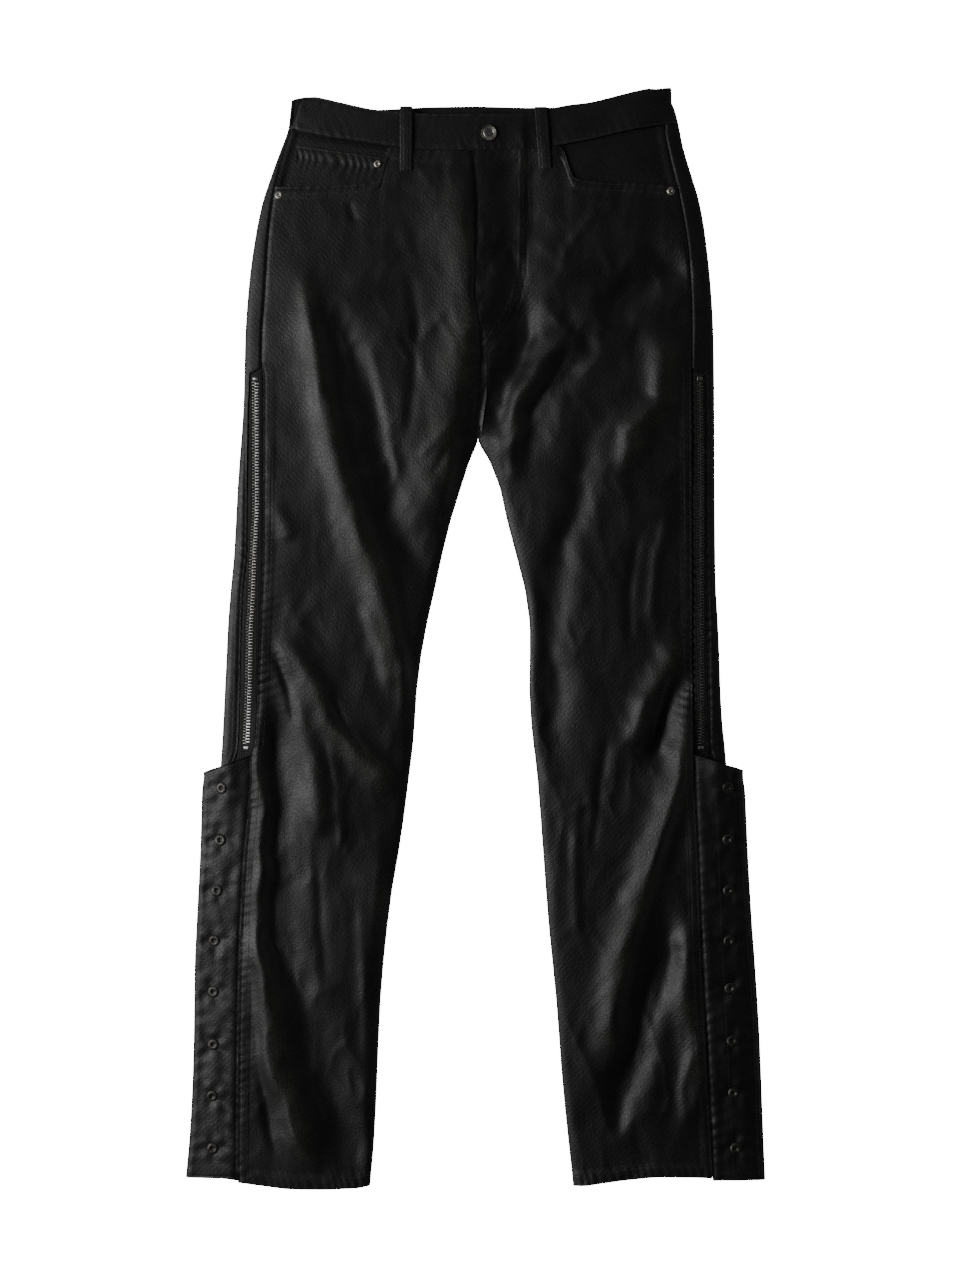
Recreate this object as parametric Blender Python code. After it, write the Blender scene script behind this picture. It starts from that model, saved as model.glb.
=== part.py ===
"""Waxed jeans laid flat on their back, with long side zips and snap flaps at the lower legs.

Lengths are in millimetres until a mesh is made. A place on the garment is (x, down): x is measured from
the middle of the whole outline, positive to the wearer's left, and down is measured from the highest
point of the waistband towards the hems. Heights are above the surface that the jeans lie on.
"""

from collections import namedtuple

import bpy
import numpy as np

MM = 0.001

# Driving sizes
LENGTH = 1100.0  # waistband's highest point to the lowest point of a hem
CROTCH_DOWN = 354.0
CROTCH_X = 2.5
CLOTH = 1.4  # one layer of coated denim
BAND = 2.2  # the waistband is doubled
FLAP = 2.0  # a snap flap is doubled and turned in
UNDERLAP = 1.2
FACING = 1.2
COIN_POCKET = 1.0
LOOP = 1.6
TAPE = 0.9
SEAM_GAP = 0.3  # between pieces that meet edge to edge
CURVED_SEAM_GAP = 0.8  # between edges whose rows or columns fall at different places on a curved seam
LAY_GAP = 0.4  # between a piece and the one that it lies on

# How the cloth stands off the surface
FOLD_RADIUS = 4.0  # half the height of the rounded side folds
SHOULDER = 12.0  # width over which a side fold rises to the upper layer
UNDER_SHOULDER = 5.0  # the same on the underside
SHOULDER_HEIGHT = 8.0
PUFF_REACH = 35.0  # the upper layer goes on rising over about this distance from a side fold
SEAT_LIFT = 1.8  # the seat lies on its patch pockets and belt loops
SEAT_LIFT_END = (300.0, 360.0)
FOLD_FADE = 25.0  # the folds die out over this distance from an edge
FLY_STEP = [(30, 2.6), (60, 2.2), (240, 1.8), (320, 1.0), (350, 0)]  # (down, how much higher the lap lies)
FLY_STEP_WIDTH = 50.0  # the lapped side of the fly sinks back to the other side's height over this width
BAND_PROUD = 0.8  # the doubled band stands out of the panels' surface on the front
UNDERLAP_END = 34.0  # how far the band's lower end goes under its upper end at the fly

# Small pieces
MOUTH_TUCK = 12.0  # a facing reaches this far past the pocket mouth, under the front panel
FACING_END = 114.0
COIN_POCKET_TOP = [(-178.5, 59.0), (-86.0, 72.5)]  # (x, down)
COIN_POCKET_END = 111.0
POCKET_OFFSET = 92.0  # from the seat seam to the middle of a back pocket
POCKET_TOP, POCKET_SIDE_END, POCKET_POINT = 148.0, 272.0, 287.0
POCKET_HALF_TOP, POCKET_HALF_BOTTOM = 74.0, 63.0
LOOP_HALF = 6.2
# A front loop's height above the cloth at shares of its length.
LOOP_STAND = [(0, 1.5), (0.12, 1.8), (0.3, 2.4), (0.5, 2.1), (0.68, 1.5), (0.82, 0.8), (1, 0.5)]
BACK_LOOP_TOP, BACK_LOOP_END = 21.5, 84.0
HALF_CHAIN = 2.9  # half the width of the zip's teeth
FLAP_EDGE_HEIGHT = 3.7  # top of a flap at its free edge, once the fold below it has settled
FLAP_EDGE_RISE = 2.4  # how much higher that edge starts at the flap's top
FLAP_CROWN = 0.3

# Turned pieces: rows of (radius, height above the cloth), from the underside's middle to the top's.
SNAP = [(0, 0), (5.8, 0), (5.8, 0.9), (4.4, 1.8), (0, 1.5)]
RIVET = [(0, 0), (4.1, 0), (4.1, 0.7), (2.9, 1.3), (1.4, 1.6), (0, 1.7)]
BUTTON = [(0, 0), (5.0, 0), (5.0, 0.9), (7.9, 1.2), (7.9, 2.4), (6.6, 3.1), (4.5, 2.7), (0, 2.6)]

BLACK_CLOTH = (0.012, 0.012, 0.012)
BLACK_TAPE = (0.016, 0.016, 0.017)
STEEL = (0.32, 0.31, 0.29)
DARK_METAL = (0.07, 0.07, 0.075)

Leg = namedtuple("Leg", "name way outer inner front_edge back_edge teeth flap_edge scoop snaps")
Fold = namedtuple("Fold", "name height half_width run")

# Each row below is (down, x) unless the table says otherwise.
FLY_LINE = [(28, -4.5), (62, -2), (117, 2.5), (152, 1.5), (212, 0), (232, 3), (250, 7), (305, 7.5),
            (328, 4.5), (345, 2.5)]
CROTCH = [(CROTCH_DOWN, CROTCH_X)]
RIGHT_SIDE_SEAM = [(42, -183.5), (72, -193.5), (109, -201.5), (150, -206.5), (215, -210.5), (240, -212.5),
                   (281, -213.5)]
LEFT_SIDE_SEAM = [(36, 186.5), (72, 194), (105, 202.5), (142, 209.5), (175, 213.5), (242, 216), (281, 215.5)]

RIGHT = Leg(
    name="right",
    way=1,  # from the side fold towards the middle, x grows
    outer=[(13.5, -184), (40, -186), (57, -192.5), (87, -203.5), (117, -213.5), (147, -219.5), (184, -225),
           (247, -230), (312, -231.5), (397, -237.5), (472, -241.5), (522, -246.5), (572, -249),
           (662, -253.5), (702, -256.5), (812, -261.5), (952, -265.5), (1092, -268.5)],
    inner=FLY_LINE + CROTCH + [(367, -3.5), (397, -13.5), (447, -28.5), (497, -39.5), (547, -50.5),
                               (597, -58), (649, -61.5), (687, -66), (752, -74.5), (797, -82.5),
                               (862, -90.5), (917, -95), (976, -97.5), (1044, -100.5), (1096, -105)],
    front_edge=RIGHT_SIDE_SEAM + [(287, -211.5), (476, -212), (508, -213.5), (572, -216), (656, -219),
                                  (666, -223), (685, -222.5), (768, -229.5), (868, -234.5), (999, -236.5),
                                  (1096, -237)],
    back_edge=RIGHT_SIDE_SEAM + [(287, -227.5), (476, -228.5), (508, -233), (572, -234.5), (658, -237),
                                 (700, -251), (812, -257.5), (952, -261.5), (1096, -264.5)],
    teeth=[(290, -219.5), (422, -219), (476, -222), (508, -223), (536, -225), (608, -226.5), (656, -228.5)],
    flap_edge=[(683.5, -270.5), (697, -273), (752, -274.5), (832, -278.5), (872, -280.5), (952, -281.5),
               (1032, -284.5), (1089, -289.5)],
    scoop=[(-200.5, 100), (-175.5, 100), (-135.5, 99), (-110.5, 97), (-99, 94), (-92.5, 87),
           (-90.5, 62)],  # (x, down)
    snaps=[(699.5, -253), (751.5, -254.5), (802, -258), (852, -260.5), (903, -261.5), (955.5, -261.5),
           (1007, -262.5), (1059, -262)],
)
LEFT = Leg(
    name="left",
    way=-1,
    outer=[(0.5, 186), (16, 197.5), (40, 203.5), (57, 206.5), (87, 215.5), (117, 224.5), (147, 229.5),
           (192, 234.5), (237, 237.5), (297, 238.5), (412, 239), (497, 240), (547, 243), (622, 245.5),
           (662, 249.5), (702, 252.5), (812, 256.5), (952, 260.5), (1092, 264.5)],
    inner=FLY_LINE + CROTCH + [(368, 11.5), (397, 23.5), (447, 34.5), (497, 48.5), (547, 54.5), (597, 53.5),
                               (647, 56.5), (677, 60.5), (752, 66.5), (832, 72.5), (912, 80.5),
                               (992, 86.5), (1042, 91.5), (1096, 97.5)],
    front_edge=LEFT_SIDE_SEAM + [(512, 216), (612, 216.5), (657, 217), (702, 218.5), (768, 221.5),
                                 (829, 223.5), (897, 227), (965, 230.5), (1021, 233.5), (1096, 237)],
    back_edge=LEFT_SIDE_SEAM + [(287, 229.5), (382, 230.5), (512, 231), (612, 232), (658, 232.5),
                                (700, 247.5), (812, 252.5), (952, 256.5), (1096, 260.5)],
    teeth=[(290, 223.5), (382, 224.5), (512, 224.5), (656, 224.5)],
    flap_edge=[(681, 265.5), (697, 269), (752, 271.5), (832, 276), (872, 279), (952, 284), (1032, 287),
               (1092, 289.5)],
    scoop=[(87.5, 62), (92.5, 85), (99.5, 92), (124.5, 95.5), (161.5, 97), (200.5, 99)],  # (x, down)
    snaps=[(699, 251.5), (751, 252), (802, 252.5), (852, 253), (899.5, 254), (951.5, 256), (1003.5, 257.5),
           (1059, 259.5)],
)
CENTRE_BACK = [(20, CROTCH_X), (CROTCH_DOWN, CROTCH_X)]

# Each row below is (x, down).
BAND_TOP_FRONT = [(-184, 13.5), (-172, 8.5), (-164, 9.5), (-135.5, 16), (-107.5, 23), (-75.5, 26.5),
                  (-54.5, 28), (54.5, 28), (69.5, 24), (94.5, 18.5), (124.5, 15.5), (151, 6), (186, 0.5)]
BAND_TOP_BACK = [(-184, 15), (-172, 10.5), (-135.5, 18), (-107.5, 23), (-54, 20), (-4, 19), (14.5, 19),
                 (44.5, 20.5), (94.5, 20), (124.5, 17), (151, 8), (186, 2)]
BAND_SEAM_FRONT = [(-187, 41), (-170, 48), (-140, 52.5), (-97.5, 59), (-60.5, 64), (-3.5, 65), (60, 62),
                   (101.5, 56), (156.5, 43), (202.5, 36)]
BAND_SEAM_BACK = [(-187, 41), (-170, 45), (-140, 50), (-97.5, 54.5), (0, 58), (60, 56), (110, 51),
                  (156.5, 43), (202.5, 36)]
YOKE_SEAM = [(-205, 86), (-100, 96), (4.5, 112), (110, 96), (215, 84)]
HEM = {
    "right": [(-268, 1089), (-251.5, 1089), (-237, 1091), (-232.5, 1092), (-219.5, 1096), (-202.5, 1098.5),
              (-163.5, 1100), (-124.5, 1100), (-110.5, 1098.5), (-105, 1096)],
    "left": [(97.5, 1096.5), (107.5, 1098), (119.5, 1096), (139.5, 1092), (163.5, 1088.5), (199.5, 1086.5),
             (220.5, 1088), (265, 1090)],
}

# The puff of the upper layer in the middle of a leg or the hips: (down, height).
PUFF = [(0, 4), (60, 5), (180, 5.5), (330, 6), (500, 5.5), (700, 5), (900, 4.5), (1100, 3.5)]

# The largest folds. A run is a list of (down, x); a negative height is a trough.
FOLDS = {
    "right": [
        Fold("thigh ridge", 6.0, 17, [(184, -187), (242, -178), (314, -169), (368, -160), (413, -143),
                                      (449, -125), (512, -106), (590, -83), (680, -74)]),
        Fold("trough beside it", -3.5, 14, [(209, -152), (242, -143), (296, -122), (368, -102), (422, -93),
                                            (485, -66), (509, -56)]),
        Fold("inner thigh ridge", 4.0, 16, [(117, -28), (175, -23), (242, -21), (296, -34), (350, -41),
                                            (422, -46), (476, -46)]),
        Fold("knee ridge", 5.0, 14, [(548, -207), (581, -180), (633, -155), (684, -110), (711, -79)]),
        Fold("shin ridge", 4.0, 13, [(590, -194), (680, -171), (752, -162)]),
        Fold("trough along the flap", -4.0, 13, [(626, -201), (752, -198), (863, -200), (931, -186),
                                                 (999, -165), (1055, -141), (1089, -122)]),
        Fold("ridge along the flap", 4.0, 11, [(899, -218), (960, -211), (1008, -198), (1051, -182),
                                               (1080, -160)]),
    ],
    "left": [
        Fold("crotch ridge", 5.0, 16, [(242, 83), (265, 63), (296, 40), (323, 24), (377, 22)]),
        Fold("inner thigh trough", -3.5, 14, [(314, 110), (368, 101), (422, 89), (467, 72), (512, 67),
                                              (617, 68), (695, 72)]),
        Fold("hip trough", -3.0, 22, [(164, 194), (234, 111)]),
        Fold("outer thigh ridge", 4.5, 20, [(240, 190), (269, 177), (314, 175), (343, 146), (395, 141)]),
        Fold("knee ridge", 4.0, 13, [(540, 192), (575, 184), (617, 159), (666, 148)]),
        Fold("knee trough", -4.0, 12, [(579, 204), (617, 188), (652, 177), (685, 167)]),
        Fold("shin ridge", 6.0, 16, [(602, 200), (656, 196), (695, 190), (753, 171), (806, 155), (863, 135),
                                     (919, 128), (999, 116)]),
        Fold("shin trough", -3.5, 15, [(806, 184), (863, 180), (919, 164), (987, 146), (1055, 119)]),
        Fold("ridge along the flap", 4.0, 11, [(817, 203), (908, 200), (960, 212), (1039, 205)]),
    ],
}

# Rows of the body panels, from the band seam to the hem, closer at the crotch and at each end of the zip.
TOP_ROW, HEM_ROW = 62.0, 1092.0
ZIP_TOP, ZIP_END, FLAP_TOP = 287.0, 658.0, 666.0
PANEL_ROWS = np.concatenate([
    np.linspace(TOP_ROW, 270, 8), [281, ZIP_TOP, 308, 330, 342, 348, CROTCH_DOWN, 361, 372],
    np.linspace(400, 636, 8), [ZIP_END, FLAP_TOP], np.linspace(692, HEM_ROW, 12),
])
TOP_WARP, HEM_WARP = 150.0, 60.0  # how far the slanted ends of a panel bend its rows
FLAP_BOTTOM = {"right": 1089.0, "left": 1091.0}
SETTLE = (664.0, 744.0)  # under the top of a snap flap the side fold narrows into a low turned edge
TURNED_HEIGHT = 3.9


def curve(rows, at):
    """The value at a position, on a smooth curve through rows of (position, value) that never overshoots."""
    place, value = np.array(rows, float).T
    step = np.diff(place)
    slope = np.diff(value) / step
    tangent = np.zeros_like(value)
    before, after = slope[:-1], slope[1:]
    agree = before * after > 0
    tangent[1:-1][agree] = 2 * before[agree] * after[agree] / (before + after)[agree]
    tangent[0], tangent[-1] = slope[0], slope[-1]
    at = np.clip(at, place[0], place[-1])
    i = np.clip(np.searchsorted(place, at, side="right") - 1, 0, len(step) - 1)
    t = (at - place[i]) / step[i]
    return (
        (1 + 2 * t) * (1 - t) ** 2 * value[i]
        + t * (1 - t) ** 2 * step[i] * tangent[i]
        + t * t * (3 - 2 * t) * value[i + 1]
        + t * t * (t - 1) * step[i] * tangent[i + 1]
    )


def smooth(start, end, at):
    """0 before start, 1 after end, and an even slope between."""
    t = np.clip((at - start) / (end - start), 0, 1)
    return t * t * (3 - 2 * t)


def rounding(share):
    """A quarter of an ellipse: 0 at the edge, 1 from one shoulder width on."""
    return np.sqrt(1 - (1 - np.clip(share, 0, 1)) ** 2)


def run_height(fold, x, down):
    """What one fold adds at a place: a soft section across its run, fading out at both ends."""
    points = np.array(fold.run, float)
    length = np.append(0, np.cumsum(np.hypot(*np.diff(points, axis=0).T)))
    nearest = np.full(np.shape(x), np.inf)
    along = np.zeros(np.shape(x))
    for (d0, x0), (d1, x1), start in zip(points[:-1], points[1:], length[:-1]):
        reach = np.hypot(d1 - d0, x1 - x0)
        t = np.clip(((down - d0) * (d1 - d0) + (x - x0) * (x1 - x0)) / reach**2, 0, 1)
        away = np.hypot(down - d0 - t * (d1 - d0), x - x0 - t * (x1 - x0))
        closer = away < nearest
        nearest = np.where(closer, away, nearest)
        along = np.where(closer, (start + t * reach) / length[-1], along)
    ends = smooth(0, 0.25, along) * smooth(0, 0.25, 1 - along)
    return fold.height * ends * np.exp(-((nearest / fold.half_width) ** 2))


def edge_distance(leg, x, down):
    """Distance in plan to the nearest folded edge: the side, the inseam, or the crotch above it."""
    side = np.abs(x - curve(leg.outer, down))
    below = np.abs(x - curve(leg.inner, down))
    above = np.hypot(x - CROTCH_X, down - CROTCH_DOWN)
    return np.minimum(side, np.where(down > CROTCH_DOWN, below, above))


def loft(leg, x, down):
    """Height of the upper layer before its edges are rounded."""
    away = edge_distance(leg, x, down)
    puff = curve(PUFF, down) * (1 - np.exp(-away / PUFF_REACH))
    folds = sum(run_height(fold, x, down) for fold in FOLDS[leg.name])
    return SHOULDER_HEIGHT + puff + folds * smooth(0, FOLD_FADE, away)


def fly_step(x, down):
    """How much higher the wearer's left side lies, where it laps the right side at the fly."""
    return curve(FLY_STEP, down) * (1 - smooth(0, FLY_STEP_WIDTH, x - curve(LEFT.inner, down)))


def fold_radius(down):
    turned = TURNED_HEIGHT / 2
    return turned + (FOLD_RADIUS - turned) * (1 - smooth(*SETTLE, down))


def upper(leg, x, down):
    """Height of the upper layer's outer face."""
    high = loft(leg, x, down)
    if leg is LEFT:
        high = high + fly_step(x, down)
    return FOLD_RADIUS + (high - FOLD_RADIUS) * rounding(edge_distance(leg, x, down) / SHOULDER)


def side_fold(leg, x, down):
    """Height of the back panel where it wraps round the side on to the front."""
    low = 1 - smooth(*SETTLE, down)
    radius = fold_radius(down)
    high = TURNED_HEIGHT + (loft(leg, x, down) - TURNED_HEIGHT) * low
    shoulder = UNDER_SHOULDER + (SHOULDER - UNDER_SHOULDER) * low
    return radius + (high - radius) * rounding(np.abs(x - curve(leg.outer, down)) / shoulder)


def lower(leg, x, down):
    """Height of the lower layer's outer face, which is the underside."""
    lift = SEAT_LIFT * (1 - smooth(*SEAT_LIFT_END, down))
    side = np.abs(x - curve(leg.outer, down))
    radius = np.where(side < UNDER_SHOULDER, fold_radius(down), FOLD_RADIUS)
    return lift + (radius - lift) * (1 - rounding(edge_distance(leg, x, down) / UNDER_SHOULDER))


def points_of(x, down, height):
    return np.stack([x, LENGTH / 2 - down, height], axis=-1)


def facing_of(height, leg, x, down, up):
    """Outward unit normals of a height function; level and pointing out along the folded edges."""
    reach = 0.2
    over_x = (height(leg, x + reach, down) - height(leg, x - reach, down)) / (2 * reach)
    over_y = (height(leg, x, down - reach) - height(leg, x, down + reach)) / (2 * reach)
    normal = np.stack([-over_x, -over_y, np.ones_like(over_x)], axis=-1)
    normal *= up / np.linalg.norm(normal, axis=-1, keepdims=True)
    for table, way in ((leg.outer, -leg.way), (leg.inner, leg.way)):
        on_edge = np.abs(x - curve(table, down)) < reach
        if table is leg.inner:
            on_edge &= down >= CROTCH_DOWN
        normal[on_edge] = (way, 0, 0)
    return normal


def finish(name, slot, faces, vertices):
    """A mesh object of triangles, facing out, with its material."""
    corners = vertices[faces]
    volume = np.einsum("ij,ij->i", corners[:, 0], np.cross(corners[:, 1], corners[:, 2])).sum()
    if volume < 0:
        faces = faces[:, ::-1]
    mesh = bpy.data.meshes.new(name)
    mesh.from_pydata((vertices * MM).tolist(), [], faces.tolist())
    mesh.shade_smooth()
    mesh.set_sharp_from_angle(angle=np.radians(50))
    mesh.materials.append(material(*slot))
    obj = bpy.data.objects.new(name, mesh)
    bpy.context.collection.objects.link(obj)
    return obj


def material(name, colour, roughness, metallic):
    """The material of this name, made the first time that it is asked for."""
    if name in bpy.data.materials:
        return bpy.data.materials[name]
    made = bpy.data.materials.new(name)
    made.use_nodes = True
    shader = made.node_tree.nodes["Principled BSDF"]
    shader.inputs["Base Color"].default_value = (*colour, 1)
    shader.inputs["Roughness"].default_value = roughness
    shader.inputs["Metallic"].default_value = metallic
    return made


def cloth_slot(name):
    return (name, BLACK_CLOTH, 0.45, 0.0)


def wall(name, slot, outside, inside):
    """A closed wall between two grids of points of the same shape (rows, columns, 3)."""
    rows, columns = outside.shape[:2]
    index = np.arange(rows * columns).reshape(rows, columns)
    a, b, c, d = index[:-1, :-1], index[1:, :-1], index[1:, 1:], index[:-1, 1:]
    skin = np.stack([np.stack([a, b, c], -1), np.stack([a, c, d], -1)]).reshape(-1, 3)
    rim = np.concatenate([index[0, ::-1], index[1:, 0], index[-1, 1:], index[-2:0:-1, -1]])
    here, onward = rim, np.roll(rim, -1)
    size = rows * columns
    sides = np.concatenate([
        np.stack([onward, here, here + size], -1),
        np.stack([onward, here + size, onward + size], -1),
    ])
    faces = np.concatenate([skin, skin[:, ::-1] + size, sides])
    return finish(name, slot, faces, np.concatenate([outside.reshape(-1, 3), inside.reshape(-1, 3)]))


def settle(place_x, place_down, start):
    """Grids of x and down for columns whose x depends on down, on rows whose down depends on x."""
    down = np.asarray(start, float)[:, None]
    for _ in range(6):
        x = place_x(down)
        down = place_down(x)
    return place_x(down), down


def panel_rows(rows, top, hem):
    """Rows of a body panel, bent at both ends to meet the edges top(x) and hem(x)."""
    rows = np.asarray(rows, float)[:, None]
    near_top = 1 - smooth(0, TOP_WARP, rows - TOP_ROW)
    near_hem = 1 - smooth(0, HEM_WARP, HEM_ROW - rows)
    return lambda x: rows + (top(x) - TOP_ROW) * near_top + (hem(x) - HEM_ROW) * near_hem


def even_rows(shares, top, bottom):
    """Rows that share out the way from one edge to the other."""
    shares = np.asarray(shares, float)[:, None]
    return lambda x: top(x) + (bottom(x) - top(x)) * shares


def hem_of(leg):
    return lambda x: curve(HEM[leg.name], x)


def scoop_top(leg):
    """Top edge of a front panel: the band seam near the fly, and the pocket mouth beside it."""
    mouth = min(leg.scoop, key=lambda row: abs(row[0]))[0]

    def place(x):
        in_mouth = leg.way * x < leg.way * mouth
        return np.where(in_mouth, curve(leg.scoop, x), curve(BAND_SEAM_FRONT, x)) + SEAM_GAP

    return place


def side_gap(down):
    return np.where(down < ZIP_TOP, CURVED_SEAM_GAP, SEAM_GAP)


def lift_edge(z, leg, x, down, by):
    """Moves the points on the inseam up or down by half a seam's gap."""
    on_inseam = (down >= CROTCH_DOWN) & (np.abs(x - curve(leg.inner, down)) < SEAM_GAP)
    return z + np.where(on_inseam, by, 0)


def front_panel(leg):
    """A front panel, from its side edge to the fly or the inseam."""
    level = [0, 0.04, 0.13, 0.23, 0.33, 0.44, 0.525, 0.555, 0.576, 0.67, 0.75, 0.83, 0.915, 1]
    rounded = [0.4, 0.7, 0.9, 1]
    shares = np.array(level + [1] * len(rounded))
    steps = np.array([0] * len(level) + rounded) * SHOULDER

    def place(down):
        start = curve(leg.front_edge, down) + leg.way * side_gap(down) / 2
        end = curve(leg.inner, down) - leg.way * np.where(down <= CROTCH_DOWN, SEAM_GAP / 2, 0)
        return start + (end - leg.way * SHOULDER - start) * shares + leg.way * steps

    x, down = settle(place, panel_rows(PANEL_ROWS, scoop_top(leg), hem_of(leg)), PANEL_ROWS)
    normal = facing_of(upper, leg, x, down, 1)
    normal[on_middle_seam(curve(leg.inner, down), x, down)] = (0, 0, 1)
    outside = points_of(x, down, lift_edge(upper(leg, x, down), leg, x, down, SEAM_GAP / 2))
    wall(f"front_panel_{leg.name}", cloth_slot("front_panels"), outside, outside - CLOTH * normal)


def on_middle_seam(seam, x, down):
    """The points on a panel's edge along the fly or the seat seam, where the wall's edge stands upright."""
    return (down < CROTCH_DOWN) & (np.abs(x - seam) < SEAM_GAP)


def back_piece(name, slot, leg, rows_of, start):
    """A piece of the back: it lies underneath and wraps round the side to the side seam on the front."""
    from_inner = np.array([0, 0.2, 0.5, 1, 1, 1, 1, 1, 1, 1, 1]) * UNDER_SHOULDER
    shares = np.array([0, 0, 0, 0, 0.25, 0.5, 0.75, 1, 1, 1, 1])
    to_side = np.array([0, 0, 0, 0, 0, 0, 0, 0, 0.5, 0.8, 1]) * UNDER_SHOULDER
    wrap_shares = np.array([0.1, 0.3, 0.6, 1.0])

    def place_under(down):
        middle = curve(CENTRE_BACK, down) - leg.way * SEAM_GAP / 2
        inner = np.where(down < CROTCH_DOWN, middle, curve(leg.inner, down))
        side = curve(leg.outer, down)
        span = side - inner + 2 * leg.way * UNDER_SHOULDER
        return inner - leg.way * from_inner + span * shares - leg.way * to_side

    def place_side(down):
        side = curve(leg.outer, down)
        edge = curve(leg.back_edge, down) - leg.way * side_gap(down) / 2
        return side + (edge - side) * wrap_shares

    under_x, under_down = settle(place_under, rows_of, start)
    side_x, side_down = settle(place_side, rows_of, start)
    under_z = lift_edge(lower(leg, under_x, under_down), leg, under_x, under_down, -SEAM_GAP / 2)
    outside = np.concatenate([
        points_of(under_x, under_down, under_z),
        points_of(side_x, side_down, side_fold(leg, side_x, side_down)),
    ], axis=1)
    under_normal = facing_of(lower, leg, under_x, under_down, -1)
    under_normal[on_middle_seam(curve(CENTRE_BACK, under_down), under_x, under_down)] = (0, 0, -1)
    normal = np.concatenate([under_normal, facing_of(side_fold, leg, side_x, side_down, 1)], axis=1)
    wall(name, cloth_slot(slot), outside, outside - CLOTH * normal)


def back_pieces(leg):
    """The back panel and the yoke above it."""
    below_yoke = panel_rows(PANEL_ROWS, lambda x: curve(YOKE_SEAM, x) + SEAM_GAP / 2, hem_of(leg))
    back_piece(f"back_panel_{leg.name}", "back_panels", leg, below_yoke, PANEL_ROWS)
    yoke = even_rows(
        [0, 0.5, 1],
        lambda x: curve(BAND_SEAM_BACK, x) + CURVED_SEAM_GAP,
        lambda x: curve(YOKE_SEAM, x) - SEAM_GAP / 2,
    )
    back_piece(f"back_yoke_{leg.name}", "yokes", leg, yoke, [60, 75, 90])


def pocket_facing(leg, depth):
    """The layer that shows in a pocket mouth. It reaches a little way under the front panel."""
    edge_depth = CLOTH + LAY_GAP
    mouth = min(leg.scoop, key=lambda row: abs(row[0]))[0] + leg.way * MOUTH_TUCK
    shares = np.array([0, 0.09, 0.3, 0.53, 0.77, 1])

    def place(down):
        start = curve(leg.front_edge, down) + leg.way * SEAM_GAP
        return start + (mouth - start) * shares

    rows = even_rows([0, 0.25, 0.5, 0.75, 1], lambda x: curve(BAND_SEAM_FRONT, x) + 2 * SEAM_GAP,
                     lambda x: np.full_like(x, FACING_END))
    x, down = settle(place, rows, [50, 66, 82, 98, FACING_END])
    deeper = smooth(2, 9, leg.way * (x - curve(leg.front_edge, down)))
    outside = points_of(x, down, upper(leg, x, down) - edge_depth - (depth - edge_depth) * deeper)
    wall(f"pocket_facing_{leg.name}", cloth_slot("pocket_facings"), outside, outside - (0, 0, FACING))


def coin_pocket():
    """The small pocket inside the right pocket mouth; its lower end is under the front panel."""
    columns = np.linspace(COIN_POCKET_TOP[0][0], COIN_POCKET_TOP[1][0], 5)
    rows = even_rows([0, 0.33, 0.67, 1], lambda x: curve(COIN_POCKET_TOP, x),
                     lambda x: np.full_like(x, COIN_POCKET_END))
    x, down = settle(lambda down: columns + 0 * down, rows, [65, 80, 95, COIN_POCKET_END])
    outside = points_of(x, down, upper(RIGHT, x, down) - CLOTH - LAY_GAP)
    wall("coin_pocket", cloth_slot("coin_pocket"), outside, outside - (0, 0, COIN_POCKET))


def back_pocket(leg):
    """A plain patch pocket, flat on the surface under the seat."""
    half_way = (POCKET_TOP + POCKET_SIDE_END) / 2
    down = np.array([[POCKET_TOP] * 3, [half_way] * 3, [POCKET_SIDE_END, POCKET_POINT, POCKET_SIDE_END]])
    half = np.linspace(POCKET_HALF_TOP, POCKET_HALF_BOTTOM, 3)[:, None]
    x = CROTCH_X - leg.way * POCKET_OFFSET + np.array([-1, 0, 1]) * half
    inside = points_of(x, down, np.full_like(x, SEAT_LIFT - LAY_GAP))
    wall(f"back_pocket_{leg.name}", cloth_slot("back_pockets"), inside, inside * (1, 1, 0))


def band_column(leg, surface, kind, offset):
    """One column of the waistband: x and down at three places across its width."""
    above, seam = (BAND_TOP_FRONT, BAND_SEAM_FRONT) if surface is upper else (BAND_TOP_BACK, BAND_SEAM_BACK)
    rules = {
        "side": lambda down: curve(leg.outer, down) + leg.way * offset,
        "fly": lambda down: curve(LEFT.inner, down) + offset,
        "x": lambda down: offset + 0 * down,
    }
    rows = even_rows([1, 0.5, 0], lambda x: curve(above, x), lambda x: curve(seam, x))
    return settle(rules[kind], rows, [50, 40, 30])


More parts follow.
